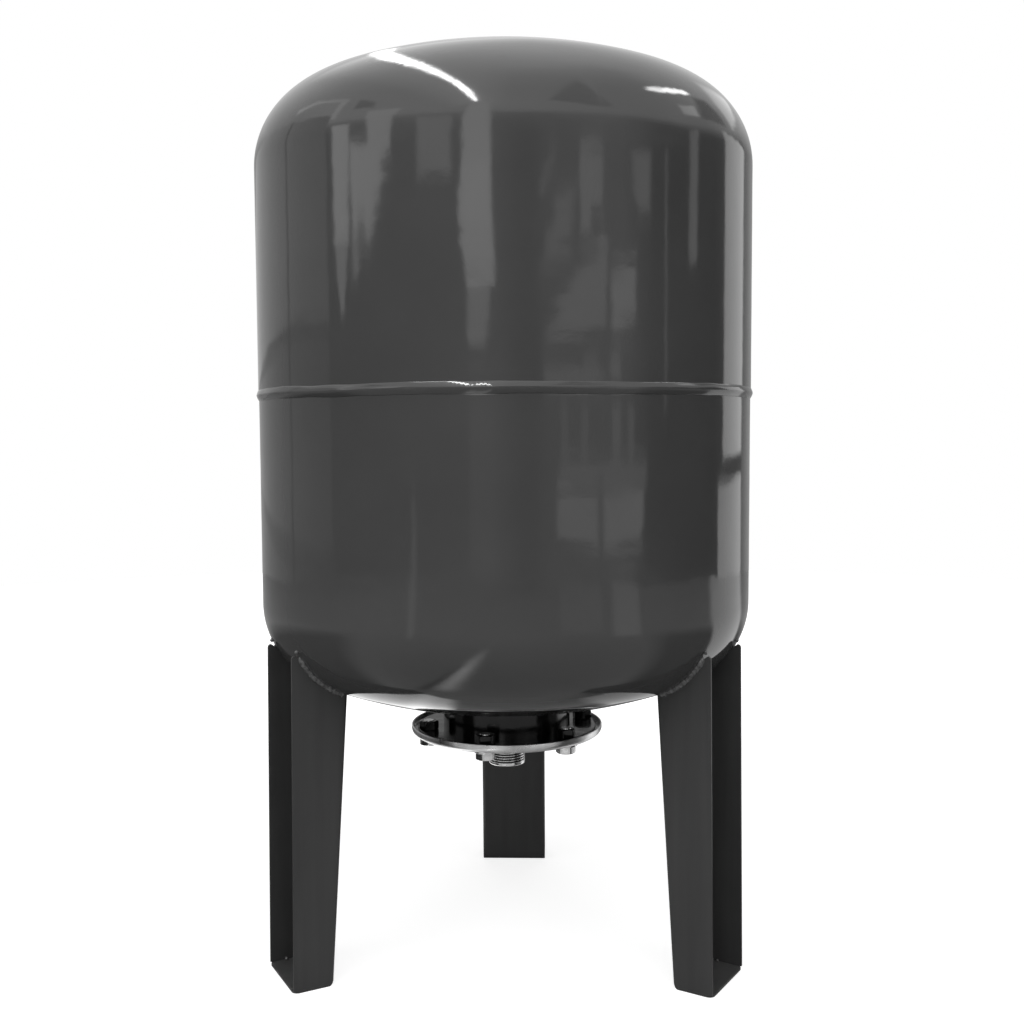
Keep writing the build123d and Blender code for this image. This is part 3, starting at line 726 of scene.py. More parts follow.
def thread(z, angle, pitch, wide=0.6):
    """Share of a thread's depth cut at each height and angle: a rounded wave of height less the turn's
    share of the pitch."""
    return np.clip(0.5 - wide * np.cos((z / pitch - angle / TAU) * TAU), 0, 1)


def bolt_shank(z_low, z_high):
    """A threaded rod: the radius falls from the crest by the thread's cut, which fades into plain ends,
    and a chamfer rounds both end faces."""
    angle, pitch, chamfer = full_turn(72), 1.5 * MM, 0.6 * MM
    z = span(z_low, z_high, int((z_high - z_low) / pitch * 10) + 2)[:, None]
    cut = 0.9 * MM * thread(z, angle, pitch, 0.62)
    fade = np.clip((z - z_low) / pitch, 0, 1) * np.clip((z_high - z) / pitch, 0, 1)
    end = np.minimum(np.clip(z - z_low, 0, chamfer), np.clip(z_high - z, 0, chamfer)) - chamfer
    return surface(ring(BOLT_R - cut * fade + end, angle, z), wrap_cols=True, poles=True)


def bolt_spots():
    angle = np.radians(BOLT_PHASE + 60 * np.arange(6))
    return np.stack([BOLT_CIRCLE_R * np.sin(angle), -BOLT_CIRCLE_R * np.cos(angle)], -1)


def pipe_stub():
    """The stub: outside, a helical pipe thread whose crest and root are rounded, a run-out groove, the
    seat in the plate and the collar; inside, the bore; carried round the axis as one closed skin. With
    it, the thread's depth at each point, for the painted shade in its roots."""
    sizes = bpy.context.scene.tank_sizes
    end, plate, chamfer = PIPE_END_Z / MM, PLATE_Z / MM, 1.2
    r, floor = PIPE_R / MM, (PLATE_Z + COVER_T) / MM
    thread_top = plate - 4
    angle, z = full_turn(240), span(end + chamfer, thread_top, 150)[:, None] * MM
    cut = thread(z, angle, sizes.thread_pitch) * np.clip((z / MM - end - 2.2) / 1.2, 0, 1)
    before = outline((12.5, end + 0.4), 3, (12.9, end), 4,
                     bow((r - chamfer, end + chamfer), chamfer, -90, 0, 7)[:-1]) * MM
    after = outline((r - 1.5, thread_top + 1.5), 3, (r - 1.5, plate), (17, plate), 2, (17, floor),
                    (21, floor), 2, (21, floor + 2.2), (20.7, floor + 2.5), 4, (12.8, floor + 2.5),
                    (12.5, floor + 2.2), 12, (12.5, end + 0.8)) * MM
    skin = np.vstack([carried(before, angle), ring(PIPE_R - sizes.thread_depth * cut, angle, z),
                      carried(after, angle)])
    depth = np.zeros(skin.shape[:2])
    # how much painted shade each thread root gets, from the thread's cut
    depth[len(before):-len(after)] = np.clip(cut * 1.5 - 0.25, 0, 0.92)
    return surface(skin, wrap_rows=True, wrap_cols=True), depth


# ---------------------------------------------------------------- air valve, profiles in millimetres

def heights(node):
    """The lowest and highest height of a CAD node in millimetres."""
    return low(node).z / MM, high(node).z / MM


def valve_cap_skin():
    """The dust cap: outside, a radius that dips between grip ribs, raised by a cosine of the ribs'
    count, fading out at a plain band below and at the rounded top; inside, the bore and the roof."""
    ribs = bpy.context.scene.tank_sizes.cap_ribs
    z0, z1 = heights("valve_cap")
    r_out, bore, roof = 5.4, 3.97, z1 - 1.8
    angle = full_turn(ribs * 10)
    outside = outline((r_out, z0), 18, bow((r_out - 1, z1 - 1), 1, 0, 90, 7), 5, (1, z1))
    inside = outline((bore, z0), 8, (bore, roof), 4, (1, roof))
    z, wave = outside[:, 1:], np.cos(ribs * angle)
    rib = np.clip((z - z0 - 1.2) / 0.5, 0, 1) * np.clip((z1 - 0.7 - z) / 0.5, 0, 1)
    dip = 0.32 * rib * (0.5 - 0.5 * np.sign(wave) * np.abs(wave) ** 0.5)
    skin = np.vstack([ring(outside[:, :1] - dip, angle, z)[::-1], carried(inside, angle)])
    return surface(skin * MM, wrap_cols=True, poles=True)


def valve_stem_skin():
    """The stem: a shank in the boss, a hexagon over it and a tube with a fine cap thread, and the bore
    down its middle, each a closed skin carried round the axis."""
    z0, z1 = heights("valve_stem")
    boss_top, bore, shank, tube = z1 - 14, 2.65, 4.85, 3.85
    hex_top = boss_top + 4.5
    nut = hex_body(12 * MM, boss_top * MM, hex_top * MM, False, True, 10.0, hole=bore * MM)
    angle, z = full_turn(96), span(hex_top, z1 - 0.5, 90)[:, None]
    fade = np.clip((z - hex_top - 0.8) / 0.5, 0, 1) * np.clip((z1 - 0.5 - z) / 0.3, 0, 1)
    outside = ring(tube - 0.35 * fade * thread(z, angle, 0.794), angle, z)
    rest = outline((3.35, z1), 3, (2.85, z1), (bore, z1 - 0.2), 8, (bore, z0), 3, (shank, z0), 6,
                   (shank, boss_top + 0.2), (tube, boss_top + 0.2), 2, (tube, hex_top - 0.1))
    return joined(nut, surface(np.vstack([outside, carried(rest, angle)]) * MM, wrap_rows=True, wrap_cols=True))


def valve_turning(*steps, around, closed=True):
    """A turned valve part from its profile in millimetres."""
    return revolved(outline(*steps) * MM, around, closed=closed)


# ---------------------------------------------------------------- operators

class TANK_OT_shell(bpy.types.Operator):
    """Build the two drawn halves of the shell"""
    bl_idname = "tank.shell"
    bl_label = "Shell halves"
    bl_options = {"REGISTER", "UNDO"}

    def execute(self, context):
        piece("shell_upper_half", upper_shell(), "shell_paint", "upper_shell")
        piece("shell_lower_half", lower_shell(), "shell_paint", "lower_shell")
        return {"FINISHED"}


class TANK_OT_girth_weld(bpy.types.Operator):
    """Lay the weld bead round the seam"""
    bl_idname = "tank.girth_weld"
    bl_label = "Girth weld"
    bl_options = {"REGISTER", "UNDO"}

    def execute(self, context):
        piece("girth_bead", girth_bead(), "shell_paint", "girth_weld", sharp=0)
        return {"FINISHED"}


class TANK_OT_legs(bpy.types.Operator):
    """Fold the three legs from sheet"""
    bl_idname = "tank.legs"
    bl_label = "Legs"
    bl_options = {"REGISTER", "UNDO"}

    def execute(self, context):
        for name, turn in LEG_TURNS:
            leg = piece(f"leg_sheet_{name}", turned_about(leg_sheet(), turn), "leg_paint", f"leg_{name}",
                        sharp=0)
            wall = leg.modifiers.new("sheet", "SOLIDIFY")
            wall.thickness, wall.offset, wall.use_even_offset = LEG_T, 0.0, True
            edges = leg.modifiers.new("edges", "BEVEL")
            edges.width, edges.segments, edges.limit_method = context.scene.tank_sizes.edge_round, 2, "ANGLE"
            edges.angle_limit, edges.harden_normals = math.radians(50), True
        # small tacks on each foot: x, y, z and radius in millimetres, seed
        spots = ((-29.6, 192, 3.4, 1.9, 3), (-30.2, 197, 3.0, 1.5, 4), (29.6, 205, 3.2, 1.7, 5))
        tacks = joined(*[dab(x * MM, y * MM, z * MM, r * MM, seed) for x, y, z, r, seed in spots])
        # the tacks take the bead coat, lighter than the legs as a painted highlight
        piece("foot_tacks", joined(*[turned_about(tacks, turn) for _, turn in LEG_TURNS]), "leg_paint",
              coat_slot="leg_bead", sharp=0)
        return {"FINISHED"}


class TANK_OT_leg_welds(bpy.types.Operator):
    """Lay the fillet beads between the legs and the shell"""
    bl_idname = "tank.leg_welds"
    bl_label = "Leg welds"
    bl_options = {"REGISTER", "UNDO"}

    def execute(self, context):
        size, start, end, tack = context.scene.tank_sizes.fillet_bead, 170.5 * MM, 209 * MM, 211.4 * MM
        tack_z = float(under_z(LEG_W / 2, tack)) - 1.2 * MM
        for i, (name, turn) in enumerate(LEG_TURNS):
            for j, (tag, side) in enumerate((("a", 1), ("b", -1))):
                seed = 100 + 10 * i + j
                rope = joined(bead_rope(start, end, size, seed, side),
                              dab(side * (LEG_W / 2 + 0.6 * MM), tack, tack_z, 1.9 * MM, seed + 30))
                # the beads take a coat lighter than the legs as a painted highlight
                piece(f"leg_bead_{name}_{tag}", turned_about(rope, turn), "leg_paint", f"leg_{name}_weld_{tag}",
                      coat_slot="leg_bead", sharp=0)
        return {"FINISHED"}


class TANK_OT_neck(bpy.types.Operator):
    """Build the neck collar and its black ring plate"""
    bl_idname = "tank.neck"
    bl_label = "Neck and ring plate"
    bl_options = {"REGISTER", "UNDO"}

    def execute(self, context):
        piece("neck_tube", neck_collar(), "black_paint", "neck_collar")
        piece("ring_plate", ring_plate(), "black_paint", "neck_flange")
        return {"FINISHED"}


class TANK_OT_cover_plate(bpy.types.Operator):
    """Press the zinc cover plate with its upright lip"""
    bl_idname = "tank.cover_plate"
    bl_label = "Cover plate"
    bl_options = {"REGISTER", "UNDO"}

    def execute(self, context):
        piece("pressed_cover", cover_plate(), "zinc_plate", "cover_plate")
        return {"FINISHED"}


class TANK_OT_connector(bpy.types.Operator):
    """Cut the pipe connector with its thread"""
    bl_idname = "tank.connector"
    bl_label = "Pipe connector"
    bl_options = {"REGISTER", "UNDO"}

    def execute(self, context):
        skin, depth = pipe_stub()
        # the stored share gives the stub's thread roots their painted shade
        store(piece("pipe_stub", skin, "bolt_zinc", "threaded_connector").data, "root", depth)
        return {"FINISHED"}


class TANK_OT_flange_bolts(bpy.types.Operator):
    """Fit the six bolts with their washers and nuts"""
    bl_idname = "tank.flange_bolts"
    bl_label = "Flange bolts"
    bl_options = {"REGISTER", "UNDO"}

    def execute(self, context):
        seat, hole, rim = PLATE_Z - WASHER_T, BOLT_R + 0.5 * MM, 0.3 * MM
        shank = bolt_shank(seat - 0.5 * MM, seat + BOLT_LENGTH)
        washer = revolved(outline((hole, seat), 4, bow((WASHER_R - rim, seat + rim), rim, -90, 0, 4), 3,
                                  (WASHER_R, PLATE_Z), 3, (hole, PLATE_Z), 2, (hole, seat)), 72)
        for i, (x, y) in enumerate(bolt_spots()):
            bolt = joined(hex_body(HEX_FLATS, seat - HEAD_HEIGHT, seat, True, False, HEAD_TURNS[i]), shank)
            nut = hex_body(HEX_FLATS, RING_TOP_Z, RING_TOP_Z + NUT_HEIGHT, True, True, NUT_TURNS[i],
                           hole=4.7 * MM)
            piece(f"bolt_{i + 1}", moved(bolt, x, y), "bolt_zinc", f"flange_bolt_{i + 1}")
            piece(f"washer_{i + 1}", moved(washer, x, y), "bolt_zinc", f"flange_washer_{i + 1}")
            piece(f"nut_{i + 1}", moved(nut, x, y), "black_paint", f"flange_nut_{i + 1}")
        return {"FINISHED"}


class TANK_OT_air_valve(bpy.types.Operator):
    """Build the air valve's boss, stem and core"""
    bl_idname = "tank.air_valve"
    bl_label = "Air valve"
    bl_options = {"REGISTER", "UNDO"}

    def execute(self, context):
        z0, z1 = heights("valve_boss")
        boss = valve_turning((4.85, z0), 4, (9, z0), 6, bow((8.2, z1 - 0.8), 0.8, 0, 90, 6), 4, (4.85, z1), 4,
                             (4.85, z0), around=96)
        piece("valve_bush", boss, "shell_paint", "valve_boss")
        piece("valve_tube", valve_stem_skin(), "brass", "valve_stem")
        z0, z1 = heights("valve_core")
        core = valve_turning((1.15, z0), 3, (2.65, z0), 6, (2.65, z1 - 0.3), (2.35, z1), 3, (1.45, z1),
                             (1.15, z1 - 0.3), 6, (1.15, z0), around=48)
        piece("valve_sleeve", core, "brass", "valve_core")
        return {"FINISHED"}


class TANK_OT_valve_pin(bpy.types.Operator):
    """Build the air valve's pin"""
    bl_idname = "tank.valve_pin"
    bl_label = "Valve pin"
    bl_options = {"REGISTER", "UNDO"}

    def execute(self, context):
        z0, z1 = heights("valve_pin")
        pin = valve_turning((0.5, z0), 3, (1.7, z0), (1.9, z0 + 0.2), 3, (1.9, z0 + 1.0), (1.7, z0 + 1.2), 3,
                            (0.9, z0 + 1.2), (0.8, z0 + 1.3), 8, bow((0.4, z1 - 0.4), 0.4, 0, 90, 6),
                            around=40, closed=False)
        piece("core_pin", pin, "brass", "valve_pin", body="valve_pin")
        return {"FINISHED"}


class TANK_OT_valve_cap(bpy.types.Operator):
    """Mould the valve's dust cap"""
    bl_idname = "tank.valve_cap"
    bl_label = "Dust cap"
    bl_options = {"REGISTER", "UNDO"}

    def execute(self, context):
        piece("dust_cap", valve_cap_skin(), "cap_plastic", "valve_cap", body="valve_cap")
        return {"FINISHED"}


class TANK_OT_bladder(bpy.types.Operator):
    """Give the rubber bag inside the tank its finish"""
    bl_idname = "tank.bladder"
    bl_label = "Bladder"
    bl_options = {"REGISTER", "UNDO"}

    def execute(self, context):
        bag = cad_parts["bladder"]
        bag.data.materials.clear()
        bag.data.materials.append(paint("rubber"))
        return {"FINISHED"}


# ---------------------------------------------------------------- studio

# far walls: corners as (azimuth, elevation); level; softness; raggedness
PANELS = (
    # roof light left
    (((-112.5, 9.6), (-104.3, 9.6), (-103.5, 18), (-113.0, 18)), 2.3, 1.0, 0.5),
    (((-109.0, 6.4), (-107.2, 6.4), (-104.5, 10), (-111.5, 10)), 1.5, 0.8, 0.3),
    (((-122.5, 9.8), (-114.2, 9.8), (-113.0, 15.0), (-133.5, 15.0)), 2.3, 1.2, 0.6),
    (((-116.0, 8.1), (-113.8, 8.1), (-113.5, 10.5), (-122.0, 10.5)), 1.4, 1.0, 0.4),
    (((-133.5, 14.2), (-122.5, 14.2), (-120.0, 27.0), (-137.0, 27.0)), 2.2, 1.0, 0.4),
    (((-114.6, 7.5), (-112.8, 7.5), (-112.3, 12.5), (-113.8, 12.5)), 0.6, 0.7, 0.3),
    (((-122.0, 9.3), (-116.5, 9.3), (-117.0, 11.3), (-121.0, 11.3)), 0.9, 1.2, 0.5),
    # small light
    (((-160.0, 13.3), (-145.5, 13.3), (-146.0, 17.5), (-161.0, 17.5)), 1.3, 1.5, 0.7),
    # roof light before the tank
    (((-174.0, 4.6), (-167.0, 4.6), (-166.5, 8.5), (-177.5, 8.5)), 1.5, 1.6, 0.5),
    (((-178.5, 8.0), (-167.0, 8.0), (-162.8, 11.0), (-177.5, 11.0)), 2.4, 1.0, 0.4),
    (((-177.5, 10.8), (-162.8, 10.8), (-164.8, 15.0), (-176.6, 15.0)), 2.5, 1.0, 0.4),
    (((-177.0, 14.0), (-165.0, 14.0), (-168.5, 30.0), (-176.6, 30.0)), 2.3, 1.2, 0.4),
    # house front on the right, above the horizon
    (((145.5, 10.1), (135.5, 10.1), (135.5, 14.8), (145.5, 14.8)), 1.3, 1.5, 0.3),
    (((140.5, 10.1), (135.5, 10.1), (135.5, 11.6), (141.0, 11.6)), 0.5, 1.5, 0.2),
    (((118.5, 11.2), (112.5, 11.2), (112.5, 14.2), (122.5, 14.2)), 1.05, 2.0, 0.4),
    (((162.5, 8.4), (150.0, 9.6), (147.5, 12.8), (155.5, 12.2)), 1.05, 3.0, 0.8),
    (((161.5, 5.0), (144.0, 5.3), (134.0, 10.0), (146.5, 8.7)), 1.25, 2.0, 0.5),
    (((146.5, 5.3), (134.0, 5.7), (133.0, 9.9), (136.5, 10.1)), 1.2, 1.5, 0.4),
    (((131.0, 5.4), (120.5, 6.1), (119.5, 9.0), (132.0, 8.6)), 1.5, 1.5, 0.5),
    (((144.0, 3.0), (137.5, 2.9), (137.5, 4.3), (144.0, 4.2)), 0.85, 2.0, 0.3),
    (((132.0, 2.8), (127.0, 2.8), (127.5, 4.5), (132.0, 4.3)), 1.1, 1.5, 0.3),
    (((161.0, 2.5), (134.0, 2.4), (134.0, 2.9), (161.5, 3.8)), 1.2, 2.0, 0.2),
    (((104.6, 1.0), (103.4, 1.0), (103.4, 14.5), (104.8, 14.5)), 0.7, 0.8, 0.1),
    (((90.5, 8.8), (85.5, 8.8), (84.0, 17.6), (90.0, 16.3)), 0.85, 1.0, 0.1),
    (((164.0, 12.2), (162.0, 12.1), (155.0, 14.5), (158.0, 14.5)), 0.95, 2.0, 0.3),
    # and below it
    (((155.0, -2.4), (114.0, -2.4), (114.0, -1.3), (154.0, -1.3)), 0.95, 2.0, 0.2),
    (((156.0, -5.2), (137.5, -6.2), (137.5, -2.8), (155.5, -2.8)), 1.2, 2.0, 0.3),
    (((135.0, -6.3), (117.0, -5.9), (115.0, -2.8), (135.0, -2.8)), 1.3, 2.0, 0.3),
    (((131.5, -9.5), (119.5, -9.5), (120.0, -7.6), (132.0, -7.7)), 0.95, 2.0, 0.3),
    (((154.0, -1.1), (151.0, -1.1), (151.0, 1.5), (154.0, 1.5)), 0.7, 1.2, 0.1),
    (((145.0, -1.1), (142.0, -1.1), (142.0, 1.4), (145.0, 1.4)), 0.75, 1.2, 0.1),
    (((131.0, -1.1), (127.0, -1.1), (127.0, 1.4), (131.0, 1.4)), 0.9, 1.2, 0.1),
    (((123.5, -1.1), (120.5, -1.1), (120.5, 1.3), (123.5, 1.3)), 0.8, 1.2, 0.1),
    (((-140.5, -8.8), (-143.5, -8.8), (-143.0, -2.8), (-142.0, -2.8)), 0.8, 1.5, 0.2),
    (((-166.5, -12), (-178.0, -12), (-178.0, 2.0), (-167.5, 2.0)), 0.56, 3.0, 0.2),
)

# walls: (facing azimuth, from az, to az, from height, to height, level, softness); the height is
# tan(el) / cos(az - facing)
WALLS = (
    # left wall
    (-90, -100.3, 5, 0.108, 0.505, 0.66, 0.8),
    (-90, -100.3, 5, -0.105, 0.088, 0.46, 0.8),
    (-90, -100.3, 5, -0.6, -0.135, 0.40, 0.8),
    (-90, -72.6, -71.2, -0.6, 0.505, 0.22, 0.7),
    # right strip
    (90, 41.0, 63.3, -0.025, 0.42, 1.42, 0.8),
    (90, 41.0, 67.5, -0.45, -0.055, 1.25, 0.8),
)

# brightness by azimuth of the walls; of the roof by elevation, and its share by azimuth
WALL_BASE = ((-180, -160, -104, -100.5, -100.3, -38, -30, 30, 40, 41, 62, 66, 72, 100, 112, 126, 140,
              158, 166, 172, 180),
             (0.46, 0.40, 0.32, 0.32, 0.35, 0.35, 0.4, 0.4, 0.3, 0.12, 0.12, 0.10, 0.05, 0.08, 0.14, 0.50, 0.50,
              0.45, 0.30, 0.32, 0.46))
ROOF_BASE = ((15, 25, 45, 60, 75, 89), (1.3, 1.5, 1.35, 1.5, 2.0, 2.2))
ROOF_BACK = ((10, 15, 20, 25, 35, 45, 60, 75, 89), (0.45, 0.6, 0.7, 0.8, 1.05, 1.2, 1.5, 2.0, 2.2))
ROOF_SIDE = ((-180, -120, -60, 0, 60, 110, 150, 180), (1.05, 1.0, 0.85, 0.85, 0.7, 0.75, 0.9, 1.05))

# roof: corners as distances (right, back) on a roof one unit up; level; softness
ROOF = (
    # dark right of the tank and streaks beyond it
    (((1.15, 0.5), (1.95, 0.45), (1.95, 1.3), (1.15, 0.75)), 0.4, 0.10),
    (((0.75, 1.0), (1.15, 1.0), (1.9, 1.6), (0.8, 1.85)), 1.7, 0.12),
    # beams right before the tank
    (((0.5, -0.5), (0.62, -1.5), (1.3, -1.4), (1.5, -1.2)), 0.75, 0.08),
    (((0.50, -0.36), (0.55, -0.42), (1.27, -1.22), (1.22, -1.14)), 1.6, 0.03),
    # arc and corner on the left
    (((-2.3, -0.42), (-1.25, -0.20), (-1.22, -0.28), (-2.3, -0.55)), 2.0, 0.04),
    (((-1.3, -0.24), (-1.21, -0.24), (-1.28, 0.3), (-1.36, 0.3)), 1.9, 0.04),
    (((-1.28, 0.3), (-1.36, 0.26), (-1.62, 0.58), (-1.52, 0.62)), 1.8, 0.04),
    (((-1.62, -0.62), (-1.2, -0.45), (-1.25, -0.75), (-1.5, -0.95)), 0.75, 0.05),
    # checked window
    (((1.45, 0.08), (1.9, 0.05), (1.9, 0.42), (1.45, 0.40)), 2.2, 0.05),
    # square lamp
    (((0.986, -0.122), (1.032, 0.021), (0.928, 0.130), (0.911, -0.034)), 12.0, 0.03),
    (((1.032, 0.021), (1.062, 0.205), (0.953, 0.312), (0.928, 0.130)), 14.0, 0.03),
    (((1.062, 0.205), (1.071, 0.424), (0.984, 0.511), (0.953, 0.312)), 12.0, 0.03),
    # glow round the long lamp, then the lamp from front to back, bent at its far end
    (((-0.62, -1.9), (-0.05, -1.9), (-0.15, 1.2), (-0.60, 1.0)), 2.0, 0.35),
    (((-0.256, -1.62), (-0.254, -1.073), (-0.324, -1.215), (-0.304, -1.72)), 32.0, 0.02),
    (((-0.252, -1.073), (-0.290, -0.593), (-0.346, -0.723), (-0.319, -1.215)), 34.0, 0.02),
    (((-0.296, -0.593), (-0.335, -0.175), (-0.384, -0.311), (-0.340, -0.723)), 27.0, 0.02),
    (((-0.335, -0.175), (-0.356, 0.237), (-0.411, 0.051), (-0.384, -0.311)), 26.0, 0.02),
    (((-0.356, 0.237), (-0.361, 0.534), (-0.418, 0.289), (-0.411, 0.051)), 26.0, 0.02),
    (((-0.361, 0.534), (-0.362, 0.968), (-0.417, 0.543), (-0.418, 0.289)), 26.0, 0.02),
    (((-0.362, 0.968), (-0.371, 1.773), (-0.393, 0.963), (-0.417, 0.543)), 14.0, 0.025),
    (((-0.379, 0.779), (-0.345, 0.954), (-0.336, 1.302), (-0.357, 1.131)), 14.0, 0.02),
)

# floor, in metres from the tank's middle: the near edge y over x of the pale patches; far patches as
# (from az, to az, nearest distance, how much paler)
LEFT_PATCH = ((-0.27, -0.235, -0.195, -0.145, -0.10), (0.05, -0.005, -0.095, -0.115, -0.09))
RIGHT_PATCH = ((0.15, 0.20, 0.24, 0.30), (-0.05, -0.06, 0.05, 0.25))
FAR_PATCHES = ((119.5, 132, 1.3, 0.42), (-143.5, -140.5, 1.3, 0.35), (137, 155, 1.9, 0.15))

# soft boxes: name, place, size, level
SOFT_BOXES = (
    ("top", (0.0, -1.8, 2.8), (4.0, 3.0), 2.0),
    ("left", (-2.3, -1.7, 1.7), (1.8, 2.2), 2.2),
    ("right", (2.3, -1.7, 1.7), (1.8, 2.2), 1.6),
    ("back", (0.0, 2.7, 2.1), (3.0, 2.2), 1.5),
)


def edge(x):
    """0 below -1/2, 1 above 1/2, straight between."""
    return np.clip(x + 0.5, 0, 1)


def between(x, start, end, soft):
    """1 from start to end and 0 outside, with soft ends."""
    return edge((x - start) / soft) * edge((end - x) / soft)


def within(a, b, corners, soft, stretch=1.0):
    """1 inside a shape with four corners and 0 outside: the least of the distances to its sides over
    the softness. The second coordinate counts by the stretch."""
    mid = np.mean(corners, 0)
    mask = np.ones(np.broadcast(a, b).shape)
    for (a0, b0), (a1, b1) in zip(corners, corners[1:] + corners[:1]):
        na, nb = (b1 - b0) * stretch, a0 - a1
        length = math.copysign(math.hypot(na, nb), (mid[0] - a0) * na + (mid[1] - b0) * stretch * nb)
        mask = np.minimum(mask, edge(((a - a0) * na + (b - b0) * stretch * nb) / length / soft))
    return mask


def room_glow(az, el):
    """Brightness of the room in each direction, as the shell's gloss shows it: dim walls by azimuth,
    a paler roof above them, then the flat walls, the far panels and the roof's shapes laid over one by
    one. Directions are degrees from behind the tank towards the right, and degrees up."""
    rise = np.tan(np.radians(np.clip(el, -60, 89.4)))
    above = np.clip((el - 15) / 6, 0, 1)
    side = np.interp(az, *ROOF_SIDE)
    roof = np.interp(el, *ROOF_BASE) * (side + (1 - side) * np.clip((el - 50) / 25, 0, 1))
    roof = roof + (np.interp(el, *ROOF_BACK) - roof) * np.clip((95 - np.abs(az)) / 20, 0, 1)
    glow = np.interp(az, *WALL_BASE) * (1 - above) + roof * above
    for facing, a0, a1, h0, h1, level, soft in WALLS:
        h = rise / np.maximum(np.cos(np.radians(az - facing)), 0.03)
        glow = glow + (level - glow) * between(az, a0, a1, soft) * between(h, h0, h1, 0.006)
    rag = np.sin(el * 4.1 + 1.5 * np.sin(el * 1.7 + az * 0.3)) + 0.5 * np.sin(el * 11.3 + az * 0.5)
    for corners, level, soft, ragged in PANELS:
        glow = glow + (level - glow) * within(az + ragged * rag, el, corners, soft, 6.0)
    near = 1 / np.maximum(rise, 0.1)
    right, back = np.sin(np.radians(az)) * near, np.cos(np.radians(az)) * near
    for corners, level, soft in ROOF:
        glow = glow + (level - glow) * within(right, back, corners, soft) * (rise > 0.2)
    return glow


def floor_shine(x, y):
    """How gloss shows the floor: above 0 a brightness added to it, below 0 a share taken off it. It is
    pale in two patches under the tank and in a sector on the right, dim farther back and at the
    sides, and has a streak of light with a dark line beside it before the tank."""
    r, az = np.hypot(x, y), np.degrees(np.arctan2(x, y))
    shine = 0.03 - 0.78 * between(az, -112, 112, 12) * edge((r - 0.20) / 0.1) * edge((1.25 - r) / 0.5)
    left = edge((-0.085 - x) / 0.02) * edge((x + 0.30) / 0.02) * edge((0.55 - y) / 0.1)
    left = left * edge((y - np.interp(x, *LEFT_PATCH)) / 0.012)
    left_level = 1.25 + 0.7 * np.exp(-((x + 0.135) / 0.02) ** 2)
    right = between(x, 0.13, 0.27, 0.03) * edge((0.50 - y) / 0.1)
    right = right * edge((y - np.interp(x, *RIGHT_PATCH)) / 0.02)
    sector = between(az, 43, 76, 3) * edge((r - 0.3) / 0.1)
    for level, patch in ((left_level, left), (0.50, right), (0.75, sector)):
        shine = shine + (level - shine) * patch
    for a0, a1, r0, more in FAR_PATCHES:
        shine = shine + more * between(az, a0, a1, 1.5) * edge((r - r0) / 0.4)
    line = x + 0.13 + 0.125 * (y + 0.41)
    shine = shine - 0.9 * np.exp(-(line / 0.009) ** 2) * edge((y + 0.47) / 0.1) * edge((-0.15 - y) / 0.03)
    middle = x + 0.105 + 0.061 * (y + 0.4)
    streak = np.exp(-(middle / 0.023) ** 2) * np.clip((y + 1.5) / 1.2, 0, 1) * np.clip((-0.16 - y) / 0.05, 0, 1)
    return shine + 2.2 * streak * np.clip((y + 0.9) / 0.5, 0.1, 1) * np.clip(-y / 0.4, 0.5, 1)


def bare_material(name):
    """A material without nodes."""
    material = bpy.data.materials.new(name)
    material.use_nodes = True
    material.node_tree.nodes.clear()
    return material


def wall_material():
    """Walls that shine by the brightness stored on their points."""
    wall = bare_material("studio_wall_glow")
    glow = add(wall, "Attribute", attribute_name="glow")
    add(wall, "OutputMaterial", add(wall, "Emission", Strength=(glow, "Fac")))
    return wall


def floor_material(colour):
    """Pale matt floor, lifted to white where it is seen, the more the farther from the tank, and by its
    shine where gloss shows it; it keeps shadows and is clear from below."""
    floor = bare_material("studio_floor")
    far = add(floor, "VectorMath", (add(floor, "TexCoord"), "Object"), operation="LENGTH")
    white = ramp(floor, (far, "Value"), 0.2, 0.95, 0.76, 1.0)
    ray = add(floor, "LightPath")
    plain = add(floor, "Math", (ray, "Is Camera Ray"), (ray, "Is Transmission Ray"), operation="MAXIMUM")
    seen = add(floor, "Math", plain, white, operation="MULTIPLY")
    stored = add(floor, "Attribute", attribute_name="shine")
    shine = add(floor, "Math", (ray, "Is Glossy Ray"), (stored, "Fac"), operation="MULTIPLY")
    brighter = add(floor, "Math", shine, 0, operation="MAXIMUM")
    darker = add(floor, "Math", shine, -1, operation="MULTIPLY", use_clamp=True)
    tone = add(floor, "Mix", darker, data_type="RGBA", A=(*colour, 1), B=(0, 0, 0, 1))
    lift = add(floor, "Emission", Strength=add(floor, "Math", seen, brighter, operation="ADD"))
    both = add(floor, "AddShader", add(floor, "BsdfDiffuse", (tone, "Result")), lift)
    side, clear = add(floor, "NewGeometry"), add(floor, "BsdfTransparent")
    add(floor, "OutputMaterial", add(floor, "MixShader", (side, "Backfacing"), both, clear))
    return floor


def studio_surface(mesh, material, stored, values):
    """A stage object from its mesh and material, with a number stored on each point."""
    store(mesh, stored, values)
    mesh.materials.append(material)
    obj = placed(mesh.name, mesh)
    return obj


def studio_walls():
    """The walls and roof as part of a sphere over directions, seen only in reflections: finer where
    the shell's front shows them."""
    az = np.r_[span(-180, -100, 161), span(-99, 99, 199), span(100, 180, 161)][None, :]
    el = np.r_[span(-60, -15, 12), span(-14, 16, 121), span(17, 89.5, 54)][:, None]
    far, eye = 6.0, 0.45
    up, turn = np.radians(el), math.pi / 2 - np.radians(az)
    points = ring(far * np.cos(up), turn, eye + far * np.sin(up))
    mesh = mesh_of("studio_walls", (points.reshape(-1, 3), grid_faces(*points.shape[:2])), 0)
    walls = studio_surface(mesh, wall_material(), "glow", room_glow(az + 0 * el, el + 0 * az))
    walls.visible_camera = walls.visible_diffuse = walls.visible_shadow = False


